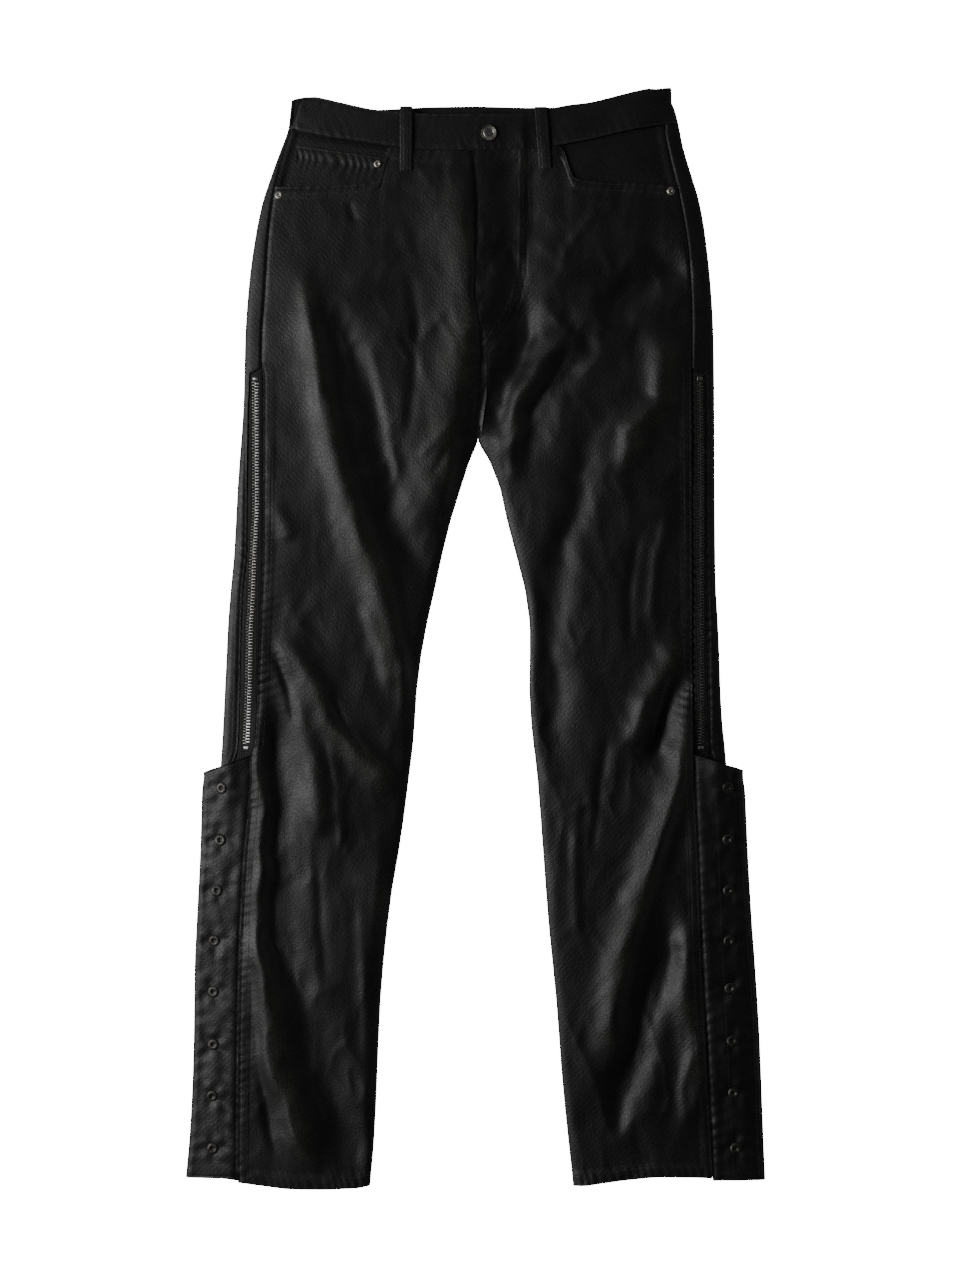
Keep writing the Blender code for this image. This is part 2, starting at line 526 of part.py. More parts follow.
def waistband():
    """One strip: from its buttoned-under end at the fly, right round the back, to its end on top."""
    near_fly = [UNDERLAP_END, 21.5, 10.5, 0]
    turn = [12, 7.2, 3.6, 1.2, 0]
    columns = [(LEFT, upper, "fly", k, BAND + LAY_GAP) for k in near_fly]
    columns += [(RIGHT, upper, "x", k, 0) for k in (-10, -32, -56, -80, -104, -128, -152)]
    columns += [(RIGHT, upper, "side", k, 0) for k in turn]
    columns += [(RIGHT, lower, "side", k, 0) for k in (1, 2.5, 5)]
    columns += [(RIGHT, lower, "x", k, 0) for k in (-168, -140, -100, -50, 0)]
    columns += [(LEFT, lower, "x", k, 0) for k in (50, 95, 135, 170)]
    columns += [(LEFT, lower, "side", k, 0) for k in (5, 2.5, 1)]
    columns += [(LEFT, upper, "side", k, 0) for k in turn[::-1]]
    columns += [(LEFT, upper, "x", k, 0) for k in (165, 140, 115, 90, 66, 48)]
    columns += [(LEFT, upper, "fly", k, 0) for k in near_fly]
    outside, inside = [], []
    for leg, surface, kind, offset, depth in columns:
        x, down = band_column(leg, surface, kind, float(offset))
        normal = facing_of(surface, leg, x, down, 1 if surface is upper else -1)
        out = BAND_PROUD * np.clip(normal[..., 2:], 0, 1)
        point = points_of(x, down, surface(leg, x, down) - depth)
        outside.append(point + out * normal)
        inside.append(point - (BAND - out) * normal)
    outside, inside = np.concatenate(outside, axis=1), np.concatenate(inside, axis=1)
    wall("waistband", cloth_slot("waistband"), outside, inside)


def front_loop(name, leg, top, bottom):
    """A belt loop on the front; top and bottom are its ends' middles as (x, down)."""
    share, stand = np.array(LOOP_STAND).T[:, :, None]
    x = top[0] + (bottom[0] - top[0]) * share + np.array([-LOOP_HALF, 0, LOOP_HALF])
    down = top[1] + (bottom[1] - top[1]) * share + 0 * x
    inside = points_of(x, down, upper(leg, x, down) + stand)
    wall(name, cloth_slot("belt_loops"), inside + (0, 0, LOOP), inside)


def back_loop(name, middle):
    """A belt loop on the back, flat between the band and the surface."""
    down = np.linspace(BACK_LOOP_TOP, BACK_LOOP_END, 3)[:, None] + np.zeros(2)
    x = middle + np.array([-LOOP_HALF, LOOP_HALF]) + 0 * down
    inside = points_of(x, down, np.full_like(x, SEAT_LIFT - LAY_GAP))
    wall(name, cloth_slot("belt_loops"), inside, inside * (1, 1, 0))


def zip_columns(leg, down):
    """x of the tape's columns, from the back panel's side to the front panel's."""
    side, back = curve(leg.outer, down), curve(leg.back_edge, down)
    front, inner = curve(leg.front_edge, down), curve(leg.inner, down)
    middle = curve(leg.teeth, down)
    tuck_back = side + (back - side) * 0.6
    tuck_front = front + (inner - leg.way * SHOULDER - front) * 0.04
    chain = (middle - leg.way * HALF_CHAIN, middle + leg.way * HALF_CHAIN)
    return np.stack([tuck_back, back, *chain, front, tuck_front], axis=1)


def side_zip(leg):
    """The tape, tucked under both panels' edges, and the chain that lies on it."""
    between = PANEL_ROWS[(PANEL_ROWS >= ZIP_TOP) & (PANEL_ROWS < ZIP_END)]
    down = np.append(between, ZIP_END + 5)
    depth = CLOTH + LAY_GAP
    x = zip_columns(leg, down)
    down = down[:, None] + 0 * x
    tape = points_of(x, down, upper(leg, x, down) - depth)
    wall(f"zip_tape_{leg.name}", ("zip_tapes", BLACK_TAPE, 0.7, 0.0), tape, tape - (0, 0, TAPE))
    down = np.append(between[1:], ZIP_END - 2)
    down = np.insert(down, 0, ZIP_TOP + 3)
    x = zip_columns(leg, down)[:, 2:4]
    down = down[:, None] + 0 * x
    bed = points_of(x, down, upper(leg, x, down))
    wall(f"zip_chain_{leg.name}", ("zip_chains", DARK_METAL, 0.4, 1.0), bed + (0, 0, 0.5),
         bed - (0, 0, depth - LAY_GAP))


def flap_height(leg, x, down):
    """Height of a snap flap: level with the front panel at its seam, then over the leg's edge and down."""
    seam = curve(leg.front_edge, down)
    share = (x - seam) / (curve(leg.flap_edge, down) - seam)
    unsettled = 1 - smooth(*SETTLE, down)
    free_edge = FLAP_EDGE_HEIGHT + FLAP_EDGE_RISE * unsettled
    sink = np.clip(share, 0, 1) ** 2.2
    crown = FLAP_CROWN * 4 * share * (1 - share)
    fold_below = SHOULDER_HEIGHT + UNDERLAP - TURNED_HEIGHT
    over_fold = fold_below * unsettled * np.exp(-(((share - 0.5) / 0.3) ** 2))
    return upper(leg, seam, down) * (1 - sink) + free_edge * sink + crown + over_fold


def flap_grid(leg, shares, inset):
    """Places on a flap: shares of its width, from its seam to its free edge less the inset."""

    def place(down):
        seam = curve(leg.front_edge, down) - leg.way * SEAM_GAP / 2
        edge = curve(leg.flap_edge, down) + leg.way * inset
        return seam + (edge - seam) * shares

    def rows_of(x):
        top = FLAP_TOP + (leg.flap_edge[0][0] - FLAP_TOP) * shares + inset
        near_top = 1 - smooth(0, HEM_WARP, rows - FLAP_TOP)
        near_hem = 1 - smooth(0, HEM_WARP, HEM_ROW - rows)
        return rows + (top - FLAP_TOP) * near_top + (FLAP_BOTTOM[leg.name] - inset - HEM_ROW) * near_hem

    nominal = PANEL_ROWS[PANEL_ROWS >= FLAP_TOP]
    rows = nominal[:, None]
    return settle(place, rows_of, nominal)


def snap_flap(leg):
    """The flap with the caps, and the underlap below it that they close on."""
    x, down = flap_grid(leg, np.array([0, 0.22, 0.42, 0.6, 0.8, 1]), 0.0)
    top = points_of(x, down, flap_height(leg, x, down))
    wall(f"snap_flap_{leg.name}", cloth_slot("snap_flaps"), top, top - (0, 0, FLAP))
    x, down = flap_grid(leg, np.array([0.42, 0.6, 0.8, 1]), 2.0)
    below = points_of(x, down, flap_height(leg, x, down) - FLAP - LAY_GAP)
    wall(f"snap_underlap_{leg.name}", cloth_slot("snap_underlaps"), below, below - (0, 0, UNDERLAP))


def turned(name, slot, place, normal, profile, sides):
    """A round piece that stands at a place along a normal, with a profile as in the tables above."""
    normal = normal / np.linalg.norm(normal)
    across = np.cross((0, 1, 0), normal)
    across /= np.linalg.norm(across)
    along = np.cross(normal, across)
    angle = np.linspace(0, 2 * np.pi, sides, endpoint=False)[:, None]
    ring = np.cos(angle) * across + np.sin(angle) * along
    points = [place + profile[0][1] * normal]
    points += [place + radius * spoke + height * normal for radius, height in profile[1:-1] for spoke in ring]
    points += [place + profile[-1][1] * normal]
    faces = []
    rings = len(profile) - 2
    for i in range(sides):
        j = (i + 1) % sides
        faces.append((0, 1 + j, 1 + i))
        for k in range(rings - 1):
            a, b = 1 + k * sides, 1 + (k + 1) * sides
            faces += [(a + i, a + j, b + j), (a + i, b + j, b + i)]
        last = 1 + (rings - 1) * sides
        faces.append((last + i, last + j, len(points) - 1))
    return finish(name, slot, np.array(faces), np.array(points))


def surface_normal(height, leg, x, down):
    x, down = np.array([[float(x)]]), np.array([[float(down)]])
    return facing_of(height, leg, x, down, 1)[0, 0]


def point_on(height, leg, x, down, above):
    z = height(leg, np.array([float(x)]), np.array([float(down)]))[0]
    return np.array([x, LENGTH / 2 - down, z]) + above * surface_normal(height, leg, x, down)


def hardware():
    """The snap caps, the pocket rivets and the waist button."""
    for leg in (RIGHT, LEFT):
        for number, (down, x) in enumerate(leg.snaps, 1):
            turned(f"snap_{leg.name}_{number}", ("snap_caps", DARK_METAL, 0.35, 1.0),
                   point_on(flap_height, leg, x, down, LAY_GAP), surface_normal(flap_height, leg, x, down),
                   SNAP, 10)
    rivets = [
        ("rivet_right_side", RIGHT, -196.0, 109.0, LAY_GAP),
        ("rivet_left_side", LEFT, 194.5, 105.0, LAY_GAP),
        ("rivet_coin_pocket", RIGHT, -97.5, 78.0, -CLOTH),  # on the coin pocket, one layer lower
    ]
    for name, leg, x, down, above in rivets:
        turned(name, ("rivets", STEEL, 0.4, 1.0), point_on(upper, leg, x, down, above),
               surface_normal(upper, leg, x, down), RIVET, 12)
    x, down = 13.3, 47.7
    place = point_on(upper, LEFT, x, down, BAND_PROUD + LAY_GAP)
    turned("waist_button", ("waist_button", STEEL, 0.4, 1.0), place, surface_normal(upper, LEFT, x, down),
           BUTTON, 20)


def main():
    for obj in list(bpy.data.objects):
        bpy.data.objects.remove(obj)
    for leg in (RIGHT, LEFT):
        front_panel(leg)
        back_pieces(leg)
        back_pocket(leg)
        side_zip(leg)
        snap_flap(leg)
    pocket_facing(RIGHT, CLOTH + COIN_POCKET + 2 * LAY_GAP)
    pocket_facing(LEFT, CLOTH + LAY_GAP)
    coin_pocket()
    waistband()
    front_loop("belt_loop_front_right", RIGHT, (-69, 21), (-69, 85))
    front_loop("belt_loop_front_left", LEFT, (65, 21.5), (69.5, 82.5))
    for name, middle in (("right", -118.0), ("middle", CROTCH_X), ("left", 127.0)):
        back_loop(f"belt_loop_back_{name}", middle)
    hardware()


main()
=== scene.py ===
# %% [markdown]
# # Waxed jeans, laid flat
# A pair of black waxed denim jeans lies on its back, seen from straight above. Waxed denim is a heavy
# twill with a greasy coating: nearly black, satin, and full of soft creases that catch the light. Long
# metal zips run down both sides, and below each zip a flap with eight snaps closes the lower leg.
#
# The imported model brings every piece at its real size. Each cloth piece is made here again as a thin
# shell on the same form, with many more points, so that its creases and puckers are real shape.

# %% Load the frame
import math
from collections import namedtuple

import bpy
import numpy as np
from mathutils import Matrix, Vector
from mathutils.bvhtree import BVHTree


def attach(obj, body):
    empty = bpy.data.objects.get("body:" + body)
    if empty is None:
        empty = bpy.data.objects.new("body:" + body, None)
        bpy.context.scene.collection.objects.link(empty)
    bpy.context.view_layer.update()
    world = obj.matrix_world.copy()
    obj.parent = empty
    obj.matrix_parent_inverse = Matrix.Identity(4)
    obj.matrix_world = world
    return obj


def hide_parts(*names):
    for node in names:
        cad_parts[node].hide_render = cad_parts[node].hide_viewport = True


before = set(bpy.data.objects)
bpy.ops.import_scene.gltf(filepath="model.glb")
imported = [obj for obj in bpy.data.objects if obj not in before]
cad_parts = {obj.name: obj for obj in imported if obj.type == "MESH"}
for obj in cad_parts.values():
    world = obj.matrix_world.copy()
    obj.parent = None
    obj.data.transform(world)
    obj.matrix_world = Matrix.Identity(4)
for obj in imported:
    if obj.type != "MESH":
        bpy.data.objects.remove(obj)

bpy.context.view_layer.update()

# %% [markdown]
# ## Where things are
# A garment is easier to think of in its own terms than in a room's. A place on the jeans is (x, down):
# x in millimetres from the middle, positive to the wearer's left, and down in millimetres from the
# highest point of the waistband. Heights are above the floor. The legs are called right and left as the
# wearer would call them, so the right leg is on the left of the picture.

# %% Sizes
MM = 0.001
LENGTH = 1100.0
CROTCH_X, CROTCH_DOWN = 2.5, 354.0
CLOTH = 1.2  # thickness of one layer
FOLD_RADIUS = 4.0  # half the height of the rounded side folds
SHOULDER, SHOULDER_HEIGHT = 12.0, 8.0  # the upper layer rises from a side fold over this width to this height
UNDER_SHOULDER = 5.0  # the same width on the underside
LOWEST = 4.8  # a trough goes no deeper than this, because the other layer lies under it
SEAT_LIFT, SEAT_END = 1.8, (300.0, 360.0)  # the seat lies on its pockets and loops, the legs on the floor
SETTLE = (664.0, 744.0)  # under a flap's top the side fold narrows into a low turned edge
TURNED_HEIGHT = 3.9  # of that edge
ZIP_TOP, ZIP_END, FLAP_TOP = 287.0, 658.0, 666.0
LEGS = {"right": 1, "left": -1}  # the way from a leg's side fold towards the middle, along x

# %% [markdown]
# ## Soft shapes
# A few small shapes make every surface here: an even step, the round of a folded edge, the bell of a
# crease, and smooth random waves for what is only uneven. The waves come from a seeded table of random
# numbers, so they are the same on every run.

# %% Steps, rounds, bells and waves
FULLNESS = 2.7  # of the round: 2 would be a quarter of an ellipse
LATTICE = 200  # the waves start again after this many spacings


def glide(start, end, at):
    """0 before start, 1 after end, and an even slope between."""
    t = np.clip((at - start) / (end - start), 0, 1)
    return t * t * (3 - 2 * t)


def arch(share):
    """A full quarter round: 0 at an edge, 1 from one shoulder width on."""
    return (1 - (1 - np.clip(share, 0, 1)) ** FULLNESS) ** (1 / FULLNESS)


def bell(distance, width):
    """1 at no distance, and nearly nothing from two widths on."""
    return np.exp(-((distance / width) ** 2))


def hump(distance, before, after):
    """A soft bell over a signed distance, with its own half width on each side."""
    return bell(distance, np.where(distance < 0, before, after))


def waves(x, down, spacing, seed):
    """Smooth random waves between -1 and 1, with this spacing in millimetres."""
    rng = np.random.default_rng(seed)
    table = rng.uniform(-1, 1, (LATTICE, LATTICE))
    turn = rng.uniform(0.3, 1.2)
    u = (x * np.cos(turn) + down * np.sin(turn)) / spacing
    v = (down * np.cos(turn) - x * np.sin(turn)) / spacing
    i, j = np.floor(u).astype(int), np.floor(v).astype(int)
    s, t = glide(0, 1, u - i), glide(0, 1, v - j)
    i, j, onward, beside = i % LATTICE, j % LATTICE, (i + 1) % LATTICE, (j + 1) % LATTICE
    first = table[i, j] * (1 - s) + table[onward, j] * s
    second = table[i, beside] * (1 - s) + table[onward, beside] * s
    return first * (1 - t) + second * t


def mixed_waves(x, down, parts):
    """Waves on waves: parts are (height, spacing, seed)."""
    return sum(height * waves(x, down, spacing, seed) for height, spacing, seed in parts)


def looked_up(table, at):
    """The value at a place between the rows of a table of (place, value)."""
    return np.interp(at, *np.array(table, float).T)


def even(value):
    """An edge that is at the same place all along."""
    return lambda at: value + 0 * at


# %% [markdown]
# ## The pattern's edges
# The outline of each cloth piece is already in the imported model. It is read off there: a plane is put
# across a node at each place, and where the node's edges cross it, the first or last crossing is the
# edge of the cloth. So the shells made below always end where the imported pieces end, and keep the thin
# gaps between them at the seams.

# %% Read the outlines
STEP = 4.0  # from plane to plane
BODY_TOP, HIP_TOP, FLY_TOP, POCKET_CORNER, FACING_LOW = 15, 48, 66, 102, 112  # down to where an edge starts
CORNER_ROW = 1077.0  # the hems slant, so from here on a plane would cut off their outer corners
INSEAM_END, FLAP_READ = 1094, (690, 1088)
OVER_BACK = {"hip": 6.5, "leg": 3.0, "band": 7.0}  # the upper layer is above this, and the lower one below
WAIST = {"top": (-183, 185), "front seam": (-183, 200), "yokes": (-203, 213)}  # x of the first and last plane


def edge_ends(nodes):
    """Both ends of every mesh edge of these nodes, as (x, down, height)."""
    ends = []
    for node in nodes:
        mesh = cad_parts[node].data
        points = np.empty(3 * len(mesh.vertices))
        mesh.vertices.foreach_get("co", points)
        points = points.reshape(-1, 3) / MM
        points[:, 1] = LENGTH / 2 - points[:, 1]
        pairs = np.empty(2 * len(mesh.edges), int)
        mesh.edges.foreach_get("vertices", pairs)
        ends.append(points[pairs.reshape(-1, 2)])
    return np.concatenate(ends)


def read_edge(nodes, cut, start, end, pick, above=-1.0, near=None, soften=5):
    """The edge of some nodes as a function: pick (min or max) of what planes across 'down' or 'x' cut."""
    axis, other = (1, 0) if cut == "down" else (0, 1)
    a, b = np.swapaxes(edge_ends(nodes), 0, 1)
    places, found = np.linspace(start, end, 1 + round(abs(end - start) / STEP)), []
    for place in places:
        crossing = (a[:, axis] - place) * (b[:, axis] - place) < 0
        p, q = a[crossing], b[crossing]
        t = ((place - p[:, axis]) / (q[:, axis] - p[:, axis]))[:, None]
        point = p + (q - p) * t
        kept = point[:, 2] > above
        if near is not None:
            kept &= np.abs(point[:, other] - near[0](place)) < near[1]
        found.append(pick(point[kept, other]) if kept.any() else np.nan)
    found = np.array(found)
    good = ~np.isnan(found)
    found = np.interp(places, places[good], found[good])
    padded = np.pad(found, soften // 2, mode="reflect", reflect_type="odd")
    found = np.convolve(padded, np.ones(soften) / soften, mode="valid")
    return lambda at: np.interp(at, places, found)


def joined_edges(first, then, start, end):
    """One edge that goes over from the first function to the other between start and end."""
    return lambda at: first(at) + (then(at) - first(at)) * glide(start, end, at)


def outermost(leg):
    """Which of min and max picks the x that is furthest out on a leg."""
    return min if LEGS[leg] > 0 else max


def innermost(leg):
    return max if LEGS[leg] > 0 else min


OUTER, INNER, SIDE_SEAM, WRAP_END, FACING_SIDE = {}, {}, {}, {}, {}
SCOOP, HEM, FLAP_EDGE = {}, {}, {}
for leg in LEGS:
    back = f"back_panel_{leg}"
    body = ["waistband", f"back_yoke_{leg}", back]
    front = [f"front_panel_{leg}"]
    OUTER[leg] = read_edge(body, "down", BODY_TOP, CORNER_ROW, outermost(leg))
    INNER[leg] = read_edge(front, "down", FLY_TOP, INSEAM_END, innermost(leg), soften=3)
    SIDE_SEAM[leg] = read_edge(front, "down", POCKET_CORNER, CORNER_ROW, outermost(leg), soften=3)
    wrapped, near = [f"back_yoke_{leg}", back], (OUTER[leg], 32.0)
    on_hip = read_edge(wrapped, "down", HIP_TOP, ZIP_TOP - 7, innermost(leg), OVER_BACK["hip"], near, 3)
    on_leg = read_edge(wrapped, "down", ZIP_TOP + 1, CORNER_ROW, innermost(leg), OVER_BACK["leg"], near, 1)
    WRAP_END[leg] = joined_edges(on_hip, on_leg, ZIP_TOP - 6, ZIP_TOP)
    facing = [f"pocket_facing_{leg}"]
    FACING_SIDE[leg] = read_edge(facing, "down", HIP_TOP, FACING_LOW, outermost(leg), soften=1)
    FLAP_EDGE[leg] = read_edge([f"snap_flap_{leg}"], "down", *FLAP_READ, outermost(leg))
    corner, fly = SIDE_SEAM[leg](POCKET_CORNER), INNER[leg](FLY_TOP)
    low, high = sorted((corner + 1.5 * LEGS[leg], fly - 1.5 * LEGS[leg]))
    SCOOP[leg] = read_edge(front, "x", low, high, min, soften=1)
    low, high = sorted((OUTER[leg](CORNER_ROW) + LEGS[leg], INNER[leg](INSEAM_END) - LEGS[leg]))
    HEM[leg] = read_edge([back], "x", low, high, max)
both_yokes = [f"back_yoke_{leg}" for leg in LEGS]
BAND_TOP = {
    "front": read_edge(["waistband"], "x", *WAIST["top"], min, above=OVER_BACK["band"]),
    "back": read_edge(["waistband"], "x", *WAIST["top"], min),
}
BAND_SEAM = {
    "front": read_edge(["waistband"], "x", *WAIST["front seam"], max, above=OVER_BACK["band"]),
    "back": read_edge(both_yokes, "x", *WAIST["front seam"], min),
}
YOKE_SEAM = read_edge(both_yokes, "x", *WAIST["yokes"], max)
print("the waist lies", round(float(OUTER["left"](30) - OUTER["right"](30))), "mm across")

# %% [markdown]
# ## How the upper layer lies
# The cloth rises quickly from its side folds, goes on rising a little over a hand's breadth, and carries
# the folds that the knees and hips have pressed into it. Each fold is a run over the cloth with a height
# and two half widths, one for each side, because a real crease is steep on one side and shallow on the
# other. A negative height is a trough. They are all listed in the jeans' own sizes. A run is
# given along the flank on the left, which is the one that the light from the left brings out, so the
# crest or the bottom lies a little to the right of it.

# %% The creases
Fold = namedtuple("Fold", "height before after run")  # before: half width towards smaller x; run: (down, x)
FOLDS = {
    "right": [
        Fold(7.5, 17, 13, [(160, -193), (184, -186), (242, -175), (314, -164), (368, -153), (413, -138),
                           (449, -122), (512, -103), (590, -82), (626, -75), (680, -75)]),
        Fold(-4.5, 16, 17, [(209, -152), (242, -143), (296, -122), (368, -102), (422, -93), (485, -68),
                            (509, -58)]),
        Fold(5.5, 27, 13, [(60, -44), (117, -34), (175, -29), (242, -26), (296, -36), (350, -43), (422, -48),
                           (476, -48)]),
        Fold(5.5, 14, 11, [(548, -207), (581, -180), (633, -155), (684, -110), (711, -79)]),
        Fold(4.5, 14, 12, [(590, -194), (680, -171), (752, -162)]),
        Fold(4.0, 8, 9, [(590, -222), (626, -220), (752, -219), (863, -219), (920, -216)]),
        Fold(-6.5, 10, 24, [(600, -206), (626, -203), (752, -201), (863, -202), (915, -200)]),
        Fold(7.5, 11, 24, [(830, -226), (899, -218), (960, -211), (1008, -198), (1051, -182), (1092, -155)]),
        Fold(-5.0, 26, 20, [(830, -214), (868, -208), (931, -188), (999, -168), (1055, -147), (1100, -124)]),
        Fold(3.6, 20, 9, [(740, -112), (830, -104), (910, -102), (1000, -106), (1060, -112)]),
    ],
    "left": [
        Fold(-3.6, 24, 20, [(50, 27), (150, 29), (215, 29), (260, 33), (300, 38)]),
        Fold(4.8, 17, 16, [(236, 86), (265, 63), (296, 42), (323, 28), (377, 25)]),
        Fold(-4.5, 13, 14, [(256, 94), (290, 74), (325, 51), (386, 35)]),
        Fold(-4.5, 14, 14, [(314, 110), (368, 101), (422, 89), (467, 72), (512, 67), (617, 68), (695, 72)]),
        Fold(-5.0, 24, 20, [(164, 194), (200, 150), (234, 111)]),
        Fold(5.5, 16, 16, [(240, 190), (269, 177), (314, 175), (343, 146), (395, 141)]),
        Fold(4.5, 12, 12, [(540, 192), (575, 184), (617, 159), (666, 148)]),
        Fold(-5.5, 10, 10, [(579, 204), (617, 188), (652, 177), (685, 167)]),
        Fold(7.0, 16, 13, [(602, 200), (656, 196), (695, 190), (753, 171), (806, 155), (863, 135),
                           (919, 128), (999, 116)]),
        Fold(-6.5, 19, 12, [(806, 184), (863, 180), (919, 163), (987, 144), (1055, 117)]),
        Fold(-6.5, 20, 9, [(205, 34), (247, 37), (282, 31), (312, 15), (352, 4)]),
        Fold(1.6, 12, 4, [(22, 38), (60, 38.5), (120, 39), (175, 37.5)]),
        Fold(5.0, 12, 10, [(817, 203), (908, 200), (960, 212), (1039, 205)]),
    ],
}
CREASES = {
    "right": [
        Fold(1.2, 5, 9, [(184, -178), (260, -166), (330, -158)]),
        Fold(-1.3, 5, 5, [(919, -221), (987, -217), (1044, -208), (1073, -199)]),
        Fold(1.4, 9, 9, [(415, -211), (435, -197), (455, -190)]),
        Fold(-1.0, 4, 4, [(115, -129), (137, -123)]),
        Fold(1.2, 5, 8, [(512, -118), (560, -98), (610, -88)]),
        Fold(-1.2, 4, 6, [(560, -205), (600, -190), (640, -182)]),
        Fold(1.0, 5, 5, [(640, -128), (672, -100), (690, -84)]),
        Fold(-1.1, 4, 5, [(602, -150), (640, -132), (668, -108)]),
        Fold(1.1, 5, 7, [(640, -150), (700, -140), (770, -136)]),
        Fold(-1.0, 5, 6, [(770, -160), (840, -158), (900, -150)]),
        Fold(1.0, 6, 7, [(800, -120), (900, -114), (990, -110)]),
        Fold(-1.0, 6, 6, [(180, -70), (240, -62), (300, -66), (360, -74)]),
        Fold(1.0, 5, 6, [(250, -110), (330, -92), (400, -80)]),
        Fold(0.9, 4, 5, [(330, -20), (348, -40), (372, -60)]),
        Fold(-0.9, 4, 4, [(340, -12), (362, -30), (392, -48)]),
    ],
    "left": [
        Fold(1.6, 6, 8, [(265, 177), (290, 176), (314, 175), (343, 146), (395, 141)]),
        Fold(-1.4, 5, 6, [(256, 94), (325, 51), (386, 35)]),
        Fold(-1.2, 5, 5, [(258, 18), (275, 19), (292, 17)]),
        Fold(1.3, 7, 7, [(246, 16), (262, 19), (290, 17)]),
        Fold(1.2, 5, 7, [(330, 48), (360, 34), (400, 30)]),
        Fold(1.4, 5, 7, [(617, 201), (690, 200), (755, 180), (820, 160)]),
        Fold(-1.3, 5, 5, [(579, 196), (610, 190), (640, 182), (668, 172)]),
        Fold(1.2, 5, 6, [(602, 168), (630, 158), (660, 152)]),
        Fold(-1.0, 5, 5, [(640, 130), (700, 120), (770, 112)]),
        Fold(1.0, 6, 6, [(700, 98), (780, 94), (860, 98)]),
        Fold(-1.1, 5, 6, [(869, 175), (919, 164), (987, 150)]),
        Fold(1.1, 5, 5, [(960, 212), (999, 202), (1039, 206)]),
        Fold(1.0, 5, 6, [(420, 190), (470, 176), (540, 170)]),
        Fold(-0.9, 5, 5, [(440, 160), (500, 150), (560, 150)]),
        Fold(1.0, 5, 6, [(120, 120), (150, 96), (175, 80)]),
    ],
}
# how much the cloth goes on rising beyond its shoulders, as (down, height), and over what distance
PUFF = [(0, 4), (60, 5), (180, 5.5), (330, 6), (500, 5.5), (700, 5), (900, 4.5), (1100, 3.5)]
PUFF_REACH = 35.0
FLANK = 0.7  # the steepest line of a fold, in its half widths from the crest
RUN_END = 0.2  # each end of a fold fades out over this share of its length
FOLD_FADE, CREASE_FADE, ROUGH_FADE = 18, 20, 12  # how far from an edge folds, creases and crumple start
WAVER_X = [(4.0, 38, 101), (1.5, 15, 102)]  # how the runs waver, as waves of (height, spacing, seed)
WAVER_DOWN = [(6.0, 50, 103)]
FLY_STEP = [(30, 2.6), (60, 2.2), (240, 1.8), (320, 1.0), (350, 0)]  # (down, height)
FLY_REACH = 50


def nearest_on(line, x, down):
    """How far the nearest point of a line is, the same signed by its side, and its share of the way along."""
    length = np.append(0, np.cumsum(np.hypot(*np.diff(line, axis=0).T)))
    nearest = np.full(np.shape(x), np.inf)
    signed, along = np.zeros(np.shape(x)), np.zeros(np.shape(x))
    for (d0, x0), (d1, x1), start in zip(line[:-1], line[1:], length[:-1]):
        reach = np.hypot(d1 - d0, x1 - x0)
        t = np.clip(((down - d0) * (d1 - d0) + (x - x0) * (x1 - x0)) / reach**2, 0, 1)
        away = np.hypot(down - d0 - t * (d1 - d0), x - x0 - t * (x1 - x0))
        side = np.sign((x - x0) * (d1 - d0) - (down - d0) * (x1 - x0))
        closer = away < nearest
        nearest = np.where(closer, away, nearest)
        signed = np.where(closer, away * side, signed)
        along = np.where(closer, (start + t * reach) / length[-1], along)
    return nearest, signed, along


def run_height(fold, x, down):
    """What one fold adds at a place."""
    signed, along = nearest_on(np.array(fold.run, float) + (0, FLANK * fold.before), x, down)[1:]
    ends = glide(0, RUN_END, along) * glide(0, RUN_END, 1 - along)
    return fold.height * ends * hump(signed, fold.before, fold.after)


def edge_distance(leg, x, down):
    """How far a place is from the nearest folded edge: the side, the inseam, or the crotch above it."""
    side = np.abs(x - OUTER[leg](down))
    inseam = np.abs(x - INNER[leg](down))
    crotch = np.hypot(x - CROTCH_X, down - CROTCH_DOWN)
    return np.minimum(side, np.where(down > CROTCH_DOWN, inseam, crotch))


def loft(leg, x, down):
    """Height of the upper layer before its edges are rounded."""
    away = edge_distance(leg, x, down)
    bent_x, bent_down = x + mixed_waves(x, down, WAVER_X), down + mixed_waves(x, down, WAVER_DOWN)
    folds = sum(run_height(fold, bent_x, bent_down) for fold in FOLDS[leg])
    puff = looked_up(PUFF, down) * (1 - np.exp(-away / PUFF_REACH))
    high = SHOULDER_HEIGHT + puff + folds * glide(0, FOLD_FADE, away)
    return LOWEST + np.logaddexp(0, high - LOWEST)


def fly_step(x, down):
    """How much higher the wearer's left side lies, where it laps the right side at the fly."""
    return looked_up(FLY_STEP, down) * (1 - glide(0, FLY_REACH, x - INNER["left"](down)))


def upper(leg, x, down):
    """Height of the upper layer's outer face."""
    high = loft(leg, x, down) + (fly_step(x, down) if leg == "left" else 0)
    return FOLD_RADIUS + (high - FOLD_RADIUS) * arch(edge_distance(leg, x, down) / SHOULDER)


def settled(down):
    """0 above the flaps, where the side fold is full, and 1 under them, where it is a turned edge."""
    return glide(*SETTLE, down)


def side_radius(down):
    """Half the height of the side fold."""
    return FOLD_RADIUS + (TURNED_HEIGHT / 2 - FOLD_RADIUS) * settled(down)


def side_fold(leg, x, down):
    """Height of the back panel where it wraps round the side on to the front."""
    high = TURNED_HEIGHT + (loft(leg, x, down) - TURNED_HEIGHT) * (1 - settled(down))
    shoulder = UNDER_SHOULDER + (SHOULDER - UNDER_SHOULDER) * (1 - settled(down))
    radius = side_radius(down)
    return radius + (high - radius) * arch(np.abs(x - OUTER[leg](down)) / shoulder)


